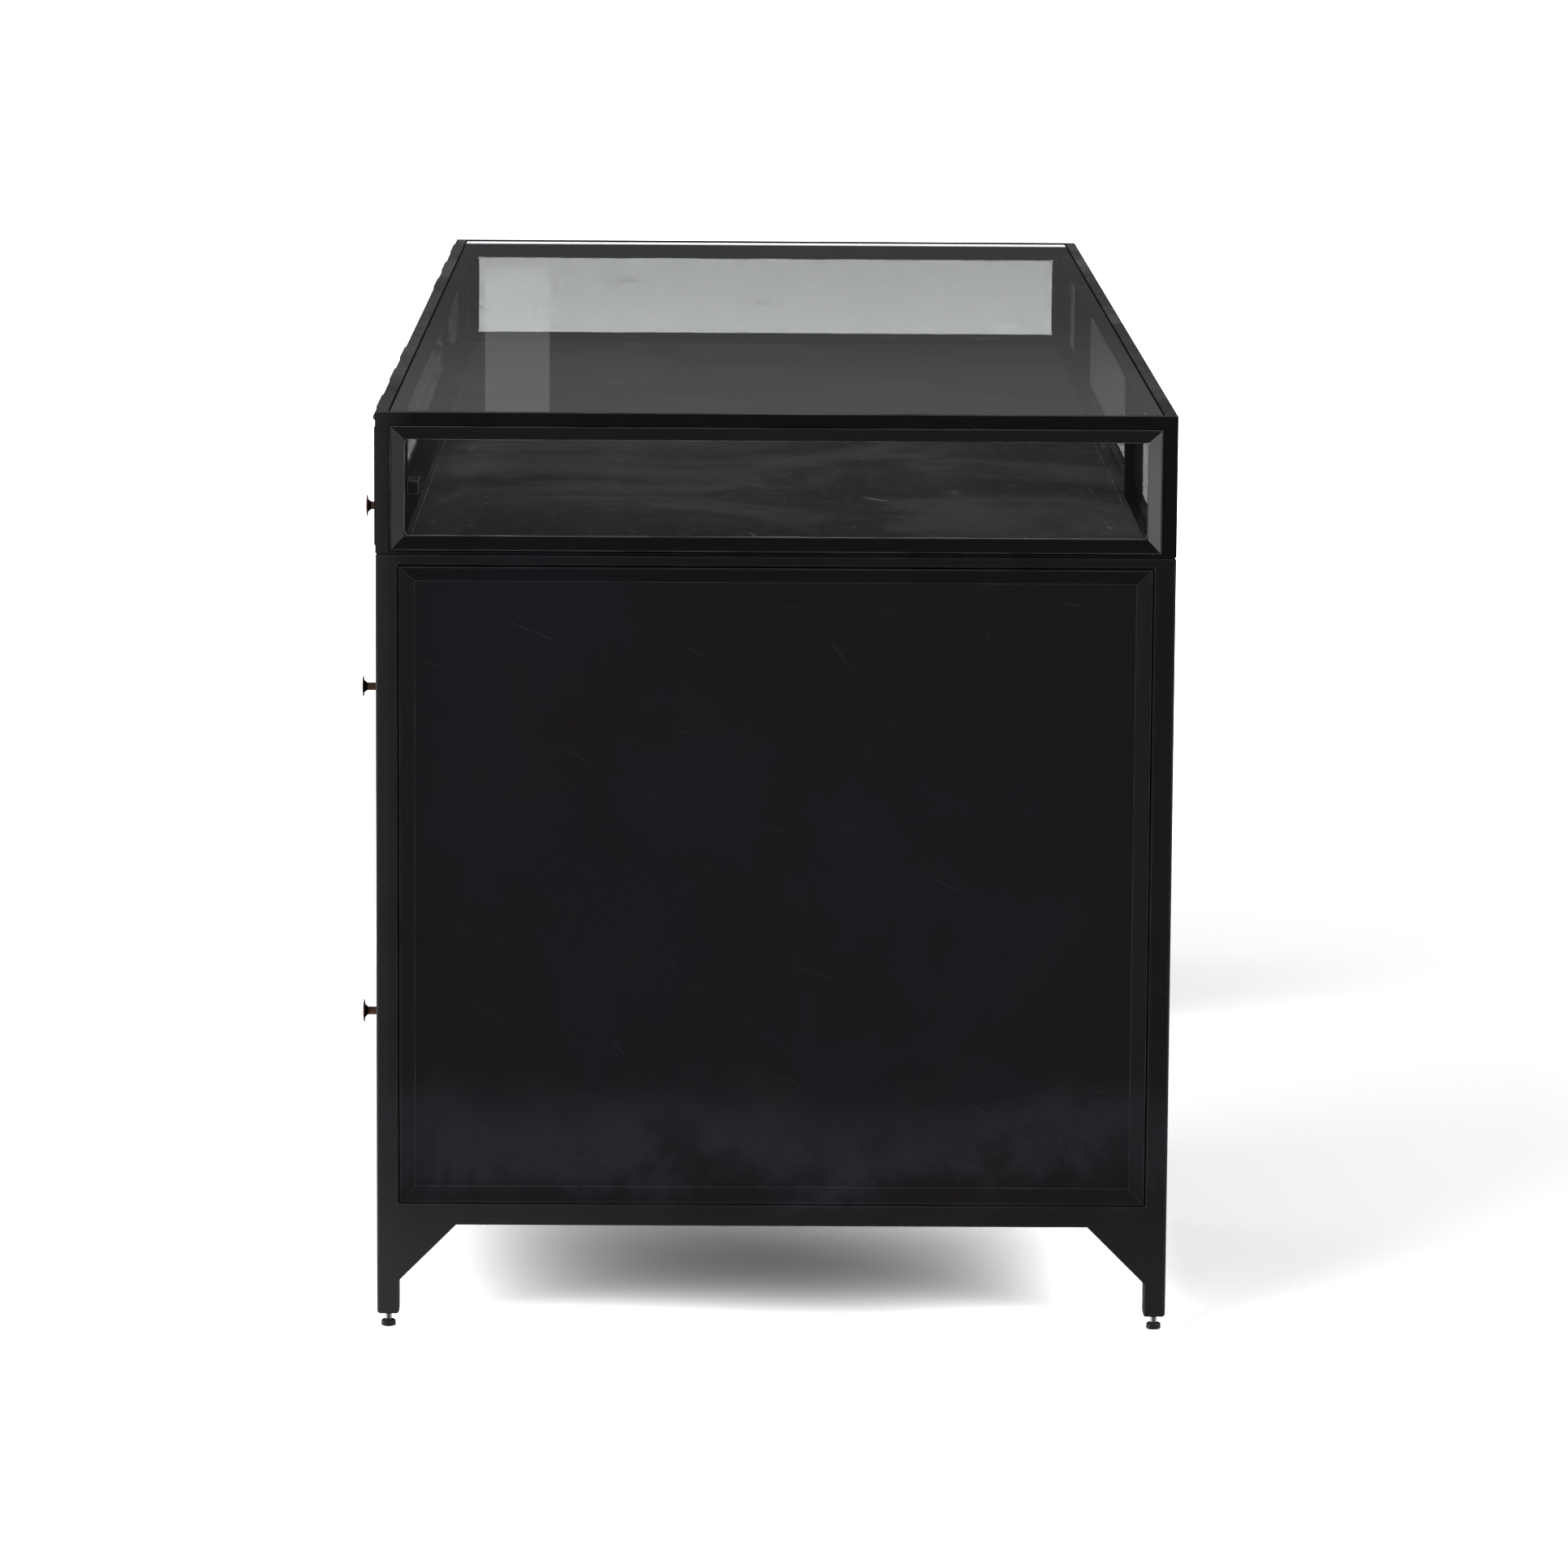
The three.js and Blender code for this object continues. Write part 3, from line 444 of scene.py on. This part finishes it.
def turned_mesh(name, profile, place, steps=72):
    """A solid turned about an upright axis from (radius, height) pairs. place puts its points in the frame."""
    made = bmesh.new()
    rings = []
    for radius, height in profile:
        if radius == 0:
            rings.append([made.verts.new(place(Vector((0, 0, height))))])
            continue
        ring = []
        for step in range(steps):
            angle = 2 * math.pi * step / steps
            point = Vector((radius * math.cos(angle), radius * math.sin(angle), height))
            ring.append(made.verts.new(place(point)))
        rings.append(ring)
    for low, high in zip(rings, rings[1:]):
        for step in range(steps):
            after = (step + 1) % steps
            corners = (low[step % len(low)], low[after % len(low)], high[after % len(high)],
                       high[step % len(high)])
            face = list(dict.fromkeys(corners))
            if len(face) > 2:
                made.faces.new(face)
    return finished_mesh(name, made)


def curve_through(points, per_span=6):
    """Points on a smooth curve through the given (radius, height) pairs."""
    out = []
    for index in range(len(points) - 1):
        before, start = points[max(index - 1, 0)], points[index]
        end, after = points[index + 1], points[min(index + 2, len(points) - 1)]
        for step in range(per_span):
            t = step / per_span
            weights = (-0.5 * t + t * t - 0.5 * t ** 3, 1 - 2.5 * t * t + 1.5 * t ** 3,
                       0.5 * t + 2 * t * t - 1.5 * t ** 3, -0.5 * t * t + 0.5 * t ** 3)
            out.append(tuple(sum(w * p[axis] for w, p in zip(weights, (before, start, end, after)))
                             for axis in (0, 1)))
    return out + [points[-1]]


# Knob outline in mm: its foot as (radius, height), the rest as (radius, depth below the cap's middle)
KNOB_FOOT = [(6.8, 0.8), (5.9, 1.2), (4.5, 3.4), (3.7, 6.0)]
KNOB_THROAT = [(3.45, 6.6), (3.5, 5.2), (3.9, 4.1), (4.9, 2.9), (5.6, 2.2)]
KNOB_RIM = [(5.9, 1.95), (8.5, 1.7), (10.0, 1.5), (10.15, 1.3)]
KNOB_CAP = [(10.0, 1.1), (8.4, 0.6), (5.6, 0.22), (2.6, 0.05), (0.0, 0.0)]
CAP_FACE, CAP_BACK, NECK_END, NECK_REACH = 1.4, 2.4, 4.6, 5.0


def knob_rub_and_highlight(depth, reach):
    """Copper share, rubbed wear and painted highlight: most on the cap's face, then on the slim neck, least in
    the throat.
    """
    if depth < CAP_FACE:
        return 1.0 - 0.05 * reach
    if reach < NECK_REACH and depth > NECK_END:
        return 0.75
    return 0.35 if depth < CAP_BACK else 0.05


def knob_piece(node, body, look):
    """A knob with a thin flat cap, a slim neck and a flared foot, in place of the plain turned node."""
    low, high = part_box(node)
    centre, length = (low + high) / 2, (high.y - low.y) / MM

    def from_end(points):
        return [(radius, length - depth) for radius, depth in points]

    def place(point):
        return Vector((centre.x + point.x * MM, high.y - point.z * MM, centre.z + point.y * MM))

    neck = curve_through(KNOB_FOOT + from_end(KNOB_THROAT))
    cap = curve_through(from_end(KNOB_CAP), 5)
    profile = [(0.0, 0.0), (KNOB_FOOT[0][0], 0.0)] + neck + from_end(KNOB_RIM) + cap
    mesh = turned_mesh(node + "_turned", profile, place)
    # Copper mask: rubbed wear, and a painted highlight on the cap's middle and the neck
    rub_and_highlight = mesh.attributes.new("rub_and_highlight", "FLOAT", "POINT")
    for index, vertex in enumerate(mesh.vertices):
        depth = length - (high.y - vertex.co.y) / MM
        reach = Vector((vertex.co.x - centre.x, vertex.co.z - centre.z)).length / MM
        rub_and_highlight.data[index].value = knob_rub_and_highlight(depth, reach)
    piece = new_piece(node + "_turned", mesh, look, body)
    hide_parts(node)


# Levelling foot in mm: its pad as (inset from the widest radius, height), the thread above the pad, and the
# stem's end as (radius, depth below its top)
FOOT_PAD = [(0.9, 0.0), (0.2, 0.3), (0.0, 0.9), (0.0, 3.9), (0.3, 4.7), (1.0, 5.2), (2.0, 5.45)]
PAD_SHOULDER = (3.2, 5.55)
THREAD_START, THREAD_PITCH, THREAD_ROOT, THREAD_CREST = 5.8, 1.0, 2.55, 3.0
STEM_END = [(2.5, 0.6), (2.0, 0.0)]


def foot_piece(node, look):
    """A levelling foot with a moulded pad, a dished shoulder and a cut thread."""
    low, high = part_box(node)
    centre = (low + high) / 2
    top = (high.z - low.z) / MM
    widest = (high.x - low.x) / 2 / MM

    def place(point):
        return Vector((centre.x + point.x * MM, centre.y + point.y * MM, low.z + point.z * MM))

    pad = [(0.0, 0.0)] + [(widest - inset, height) for inset, height in FOOT_PAD] + [PAD_SHOULDER]
    thread, height = [], THREAD_START
    while height < top - THREAD_PITCH:
        thread += [(THREAD_ROOT, height), (THREAD_CREST, height + 0.4), (THREAD_CREST, height + 0.55)]
        height += THREAD_PITCH
    stem_end = [(radius, top - depth) for radius, depth in STEM_END]
    mesh = turned_mesh(node + "_turned", pad + thread + stem_end + [(0.0, top)], place, 40)
    piece = new_piece(node + "_turned", mesh, look, node)
    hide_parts(node)


ARC_STEPS = 8


def rounded_outline(half_a, half_b, corner, spacing):
    """Points round a rectangle with rounded corners, as (a, b) pairs about its centre."""
    points = []
    for turn, (sign_a, sign_b) in enumerate(((1, 1), (-1, 1), (-1, -1), (1, -1))):
        centre = (sign_a * (half_a - corner), sign_b * (half_b - corner))
        for step in range(ARC_STEPS + 1):
            angle = math.pi / 2 * (turn + step / ARC_STEPS)
            points.append((centre[0] + corner * math.cos(angle), centre[1] + corner * math.sin(angle)))
    dense = []
    for here, after in zip(points, points[1:] + points[:1]):
        count = max(1, round(math.dist(here, after) / spacing))
        dense += [tuple(h + (a - h) * k / count for h, a in zip(here, after)) for k in range(count)]
    return dense


# Rounded section of a bead of sealant: shares of its width and of its height
BEAD_SECTION = ((0.0, 0.0), (0.12, 0.7), (0.5, 1.0), (0.88, 0.7), (1.0, 0.0))


def bead_ring(name, outline, width, unevenness, height, place, look):
    """A low rounded bead of sealant along an outline, wandering a little in width."""
    random.seed(name)
    made = bmesh.new()
    rows = []
    wander = 0.0
    for index, here in enumerate(outline):
        before, after = outline[index - 1], outline[(index + 1) % len(outline)]
        along = Vector((after[0] - before[0], after[1] - before[1])).normalized()
        inward = Vector((-along.y, along.x))
        wander = 0.7 * wander + 0.3 * random.uniform(-1, 1)
        reach = width * (1 + unevenness * wander)
        row = []
        for across, up in BEAD_SECTION:
            a = here[0] + inward.x * reach * across
            b = here[1] + inward.y * reach * across
            row.append(made.verts.new(place(a, b, height * up)))
        rows.append(row)
    for here, after in zip(rows, rows[1:] + rows[:1]):
        for low in range(len(here)):
            high = (low + 1) % len(here)
            made.faces.new((here[low], here[high], after[high], after[low]))
    return new_piece(name, finished_mesh(name, made), look, "desk")


# Joints: how far the filler behind an end joint lies outside the bead or panel, its corner and its height
FILLER_OUT, FILLER_CORNER, FILLER_HEIGHT = 0.6 * MM, 0.8 * MM, 0.25 * MM
BEAD_JOINT, PANEL_JOINT = 1.2 * MM, 3.0 * MM

# Sealant: the gap round the top glass, and how far the dusty lines lie inside the end beads and the liner
GLASS_GAP = 1.25 * MM
WINDOW_BORDER, WINDOW_CORNER = 11.7 * MM, 4.5 * MM
LINER_BORDER = 4.5 * MM


def joint_filler(node, sign, width, look):
    """Filler behind the open joint round an end bead or end panel."""
    low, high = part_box(node)
    middle = (low + high) / 2
    inner = low.x if sign > 0 else high.x
    half_y, half_z = high.y - middle.y, high.z - middle.z
    outline = rounded_outline(half_y + FILLER_OUT, half_z + FILLER_OUT, FILLER_CORNER, 0.03)
    bead_ring(node + "_joint", outline, width, 0.0, FILLER_HEIGHT,
              lambda a, b, up: Vector((inner - sign * up, middle.y + a, middle.z + b)), look)


def window_seal(side, sign, look):
    """A dusty line of sealant on the outer face of an end glass, along the inside of its bead."""
    bead_low, bead_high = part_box(f"{side}_end_bead")
    glass_low, glass_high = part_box(f"{side}_end_glass")
    face = glass_high.x if sign > 0 else glass_low.x
    centre = (bead_low + bead_high) / 2
    outline = rounded_outline((bead_high.y - bead_low.y) / 2 - WINDOW_BORDER,
                              (bead_high.z - bead_low.z) / 2 - WINDOW_BORDER, WINDOW_CORNER, 0.008)
    bead_ring(f"{side}_window_seal", outline, 0.7 * MM, 0.8, 0.22 * MM,
              lambda a, b, up: Vector((face + sign * (up + 0.02 * MM), centre.y + a, centre.z + b)), look)


def sealant(pale, black):
    """Sealant round the top glass, filler in the end joints, dusty lines by the end windows and liner."""
    low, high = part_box("top_glass")
    middle, half_y = (low.y + high.y) / 2, (high.y - low.y) / 2
    outline = rounded_outline(high.x + GLASS_GAP, half_y + GLASS_GAP, 2 * MM, 0.03)
    bead_ring("top_glass_seal", outline, GLASS_GAP - 0.2 * MM, 0.0, high.z - low.z - 1.5 * MM,
              lambda a, b, up: Vector((a, middle + b, low.z + up)), black)
    for side, sign in (("left", -1), ("right", 1)):
        joint_filler(f"{side}_end_bead", sign, BEAD_JOINT, black)
        joint_filler(f"{side}_end_panel", sign, PANEL_JOINT, black)
        window_seal(side, sign, pale)
    low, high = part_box("case_floor_liner")
    outline = rounded_outline(high.x - LINER_BORDER, (high.y - low.y) / 2 - LINER_BORDER, 2 * MM, 0.02)
    bead_ring("floor_liner_seal", outline, 0.7 * MM, 0.5, 0.35 * MM,
              lambda a, b, up: Vector((a, middle + b, high.z + up)), pale)


def face_reach(face, edge):
    """How far a face goes away from one of its edges."""
    start = edge.verts[0].co
    along = (edge.verts[1].co - start).normalized()
    return max(((v.co - start) - along * (v.co - start).dot(along)).length for v in face.verts)


def flatten(made, cuts):
    """Flat sides as one face each, cut across at (axis, place) planes so that no face holds another."""
    for axis, place in cuts:
        point, normal = Vector(), Vector()
        point[axis], normal[axis] = place, 1
        cut = bmesh.ops.bisect_plane(made, geom=made.verts[:] + made.edges[:] + made.faces[:], dist=1e-6,
                                     plane_co=point, plane_no=normal)
        for item in cut["geom_cut"]:
            if isinstance(item, bmesh.types.BMEdge):
                item.seam = True
    bmesh.ops.dissolve_limit(made, angle_limit=math.radians(0.5), verts=made.verts, edges=made.edges,
                             delimit={"SEAM"})


# Easing: points taken as one, the turn that counts as an edge, and the share of a face that one edge takes
SAME_POINT = 0.002 * MM
EDGE_TURN = math.radians(12)
EASED_SHARE = 0.3

# Radii of the eased edges: drawn tube and folded sheet
TUBE_EASE, SHEET_EASE = 2.6 * MM, 0.7 * MM

# Nodes with edges too close together to ease: they keep their plain shape
UNEASED = ("case_frame", "centre_door_frame")
TUBE = 19 * MM
BAY_MIDDLE = 690 * MM


def body_of_node(name):
    return next(body for body, nodes in frame["record"]["behaviour"]["bodies"].items() if name in nodes)


def eased_piece(node, look, radius):
    """One iron node with its outer corners eased, as tube and folded sheet have them."""
    made = bmesh.new()
    made.from_mesh(frame["nodes"][node].data)
    bmesh.ops.remove_doubles(made, verts=made.verts, dist=SAME_POINT)
    flatten(made, crossing_cuts(node))
    weight = made.edges.layers.float.new("bevel_weight_edge")
    for edge in made.edges:
        if len(edge.link_faces) != 2 or edge.calc_face_angle() < EDGE_TURN:
            continue
        if edge.is_convex:
            reach = min(face_reach(face, edge) for face in edge.link_faces)
            edge[weight] = min(1.0, EASED_SHARE * reach / radius)
    mesh = bpy.data.meshes.new(node + "_eased")
    made.to_mesh(mesh)
    made.free()
    piece = new_piece(node + "_eased", mesh, look, body_of_node(node), smooth=False)
    ease = piece.modifiers.new("ease", "BEVEL")
    ease.limit_method = "WEIGHT"
    ease.width = radius
    ease.segments = 3
    ease.use_clamp_overlap = False
    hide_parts(node)


def crossing_cuts(name):
    """Planes that part every face round a hole, as (axis, place).

    They go through the legs and middle of a pedestal frame, through the middle of a panel, front or bead both
    ways, and through every opening of the back bead."""
    low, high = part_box(name)
    middle = (low + high) / 2
    if "pedestal_frame" in name:
        return [(axis, place) for axis in (0, 1)
                for place in (low[axis] + TUBE / 2, middle[axis], high[axis] - TUBE / 2)]
    thin = min(range(3), key=lambda axis: high[axis] - low[axis])
    cuts = [(axis, middle[axis]) for axis in range(3) if axis != thin]
    if name == "back_bead":
        cuts += [(0, -BAY_MIDDLE), (0, BAY_MIDDLE)]
    return cuts


def make_looks():
    """One material for each slot of the record, and iron variants: waxed, front-lit and rim (painted light),
    dusty.
    """
    return {
        "blackened_iron": iron_material("blackened_iron", 0.42, 0.05, 1.32, 0.5),
        "waxed_iron": iron_material("waxed_iron", 0.30, 0.80, 0.50, 0.6),
        # Frame iron with painted light: paler front legs, and paler low down, partly dust
        "front_lit_iron": iron_material("front_lit_iron", 0.40, 0.28, 1.08, 0.30, lightened=True),
        "dusty_iron": iron_material("dusty_iron", 0.46, 0.30, 2.2, 0.4),
        # Rim iron with the same painted paleness along its front
        "rim_iron": iron_material("rim_iron", 0.38, 0.20, 0.66, 0.04, lightened=True),
        "dark_sheet_steel": sheet_material("dark_sheet_steel", (0.016, 0.016, 0.017, 1),
                                           (0.032, 0.032, 0.034, 1), 0.42, 0.58),
        "liner_steel": liner_material(),
        "catch_steel": sheet_material("catch_steel", (0.010, 0.010, 0.012, 1), (0.030, 0.030, 0.032, 1),
                                      0.30, 0.42, metallic=0.2, lightened=0.62),
        "glass": glass_material("clear_glass", (0.955, 0.975, 0.968, 1), 0.02),
        "zinc_runners": plated_material("zinc_runners", (0.62, 0.63, 0.65, 1), (0.40, 0.40, 0.41, 1), 0.34),
        "plated_steel": plated_material("plated_steel", (0.55, 0.54, 0.53, 1), (0.22, 0.19, 0.17, 1), 0.33),
        "zinc_feet": foot_material(),
        "aged_bronze": knob_material(),
    }


def iron_look(name):
    """Which iron an eased node is made of."""
    if "pedestal_frame" in name:
        # Pedestal frames take the iron with painted light on the front legs
        return "front_lit_iron"
    if name == "back_bead":
        return "dusty_iron"
    return "waxed_iron" if name.endswith("_bead") else "blackened_iron"


def dress_nodes(looks):
    """Paint the CAD nodes that stay and make the pieces that replace the others."""
    slots = {row["node"]: row["material_slot"] for row in frame["record"]["subparts"]}
    for name, node in frame["nodes"].items():
        node.data.materials.clear()
        node.data.materials.append(looks["rim_iron" if name == "case_frame" else slots[name]])
    for name in list(frame["nodes"]):
        if name.endswith("_knob"):
            knob_piece(name, body_of_node(name), looks["aged_bronze"])
        elif "leveller" in name:
            foot_piece(name, looks["zinc_feet"])
        elif slots[name] == "blackened_iron" and name not in UNEASED:
            radius = TUBE_EASE if "pedestal_frame" in name else SHEET_EASE
            eased_piece(name, looks[iron_look(name)], radius)
    sealant(seal_material("dusty_sealant", (0.20, 0.20, 0.20, 1), (0.06, 0.06, 0.062, 1)),
            seal_material("black_sealant", (0.010, 0.010, 0.010, 1), (0.03, 0.03, 0.03, 1)))


# Light: two soft key lights from the near corners over a pale floor. The room that metal and glass mirror is
# drawn by itself: dark, with soft boxes toward the front and the back and a low backdrop beyond the far end
def lobe(n, direction, towards, edge, core):
    """A soft box seen in one direction: 0 outside the edge cosine, 1 inside the core cosine."""
    return n.ramp(n.dot(direction, tuple(Vector(towards).normalized())), edge, core)


def band(n, value, low, high, blur):
    """1 between low and high, with blurred ends."""
    return n.times(n.ramp(value, low - blur, low + blur), n.ramp(value, high - blur, high + blur, 1.0, 0.0))


def panel(n, rise, aside, extent, strength):
    """A patch of the mirrored room beyond the far end, by its slopes upward and sideways."""
    upward, sideways = extent
    return n.times(n.times(band(n, rise, *upward), band(n, aside, *sideways)), strength)


# Soft boxes of the mirrored room: towards, cosines of the outer edge and of the full core, strength
SOFT_BOXES = (((0.28, -0.955, -0.05), 0.90, 0.97, 2.0), ((0.1, 0.99, 0.05), 0.86, 0.97, 1.15),
              ((-0.40, -0.90, -0.02), 0.88, 0.97, 1.8), ((0.55, 0.0, -0.83), 0.88, 0.97, 0.10))

# Slopes at which the camera's ray glances off the top glass: at its far edge, and over the far window's head
FAR_EDGE, WINDOW_HEAD = 0.0805, 0.0840

# Patches beyond the far end: slopes upward (from, to, blur) and sideways. The backdrop shows in the far rim,
# the lit strip and the dim wall in the top glass
BACKDROP = ((-0.25, FAR_EDGE, 0.00012), (-0.12, 0.12, 0.004))
STRIP = ((WINDOW_HEAD, 0.13, 0.0003), (-0.0340, -0.0249, 0.00008))
WALL = ((FAR_EDGE, 0.45, 0.0006), (-0.5, 0.5, 0.1))


def make_world():
    """White where it is looked at, the drawn room where it is mirrored, and a soft glow as light."""
    world = bpy.data.worlds.new("studio")
    scene.world = world
    world.use_nodes = True
    world.cycles.sampling_method = "NONE"
    n = Nodes(world.node_tree)
    direction = n.add("ShaderNodeTexCoord").outputs["Generated"]
    parts = n.add("ShaderNodeSeparateXYZ", {0: direction})
    away = n.larger(n.times(parts.outputs["X"], -1.0), 0.01)
    rise = n.math("DIVIDE", parts.outputs["Z"], away)
    aside = n.math("DIVIDE", parts.outputs["Y"], away)
    mirrored = n.ramp(parts.outputs["Z"], -0.6, 1.0, 0.055, 0.045)
    for towards, edge, core, strength in SOFT_BOXES:
        mirrored = n.plus(mirrored, n.times(lobe(n, direction, towards, edge, core), strength))
    fading = n.ramp(rise, 0.088, 0.104, 0.002, 0.047)
    for extent, strength in ((BACKDROP, 1.7), (STRIP, 0.078), (WALL, fading)):
        mirrored = n.plus(mirrored, panel(n, rise, aside, extent, strength))
    low_down = n.ramp(n.math("ABSOLUTE", parts.outputs["Z"]), 0.05, 0.75, 1.0, 0.0)
    sideways = n.ramp(n.math("ABSOLUTE", parts.outputs["Y"]), 0.3, 0.95, 0.25, 1.0)
    glow = n.plus(0.16, n.times(n.times(low_down, sideways), 0.75))
    glare = n.ramp(aside, 0.035, 0.055, 2.15, 1.6)
    white = (1, 1, 1, 1)
    lit = n.add("ShaderNodeBackground", {"Color": white, "Strength": glow}).outputs[0]
    seen = n.add("ShaderNodeBackground", {"Color": white, "Strength": glare}).outputs[0]
    shine = n.add("ShaderNodeBackground", {"Color": (0.95, 0.96, 1.0, 1), "Strength": mirrored}).outputs[0]
    path = n.add("ShaderNodeLightPath")
    onward = n.larger(path.outputs["Is Camera Ray"], path.outputs["Is Transmission Ray"])
    bounced = n.plus(path.outputs["Glossy Depth"], path.outputs["Diffuse Depth"])
    direct = n.times(onward, n.math("LESS_THAN", bounced, 0.5))
    polished = n.larger(path.outputs["Is Glossy Ray"], path.outputs["Is Transmission Ray"])
    room = n.add("ShaderNodeMixShader", {0: polished, 1: lit, 2: shine}).outputs[0]
    room = n.add("ShaderNodeMixShader", {0: direct, 1: room, 2: seen}).outputs[0]
    n.tree.links.new(room, n.add("ShaderNodeOutputWorld").inputs["Surface"])


# Key lights: name, towards and strength. They are broad, and neither metal nor glass mirrors them
KEY_LIGHTS = (("key_left", (0.66, -0.75, 0.55), 1.05), ("key_right", (0.66, 0.75, 0.55), 0.95))
KEY_BREADTH = math.radians(36)


def make_lights():
    for name, towards, energy in KEY_LIGHTS:
        data = bpy.data.lights.new(name, "SUN")
        data.energy = energy
        data.angle = KEY_BREADTH
        lamp = bpy.data.objects.new(name, data)
        lamp.rotation_euler = Vector(towards).to_track_quat("Z", "Y").to_euler()
        lamp.visible_glossy = False
        lamp.visible_transmission = False
        scene.collection.objects.link(lamp)


# The floor reaches past the horizon of every view, and lies just under the feet
FLOOR_REACH = 150
FLOOR_DROP = 0.2 * MM


def make_floor():
    mesh = bpy.data.meshes.new("floor")
    corners = [(x * FLOOR_REACH, y * FLOOR_REACH, 0) for x, y in ((-1, -1), (1, -1), (1, 1), (-1, 1))]
    mesh.from_pydata(corners, [], [(0, 1, 2, 3)])
    mesh.materials.append(floor_material())
    floor = bpy.data.objects.new("floor", mesh)
    floor.location.z = -FLOOR_DROP
    floor.visible_glossy = False
    scene.collection.objects.link(floor)


make_camera()
dress_nodes(make_looks())
make_world()
make_lights()
make_floor()
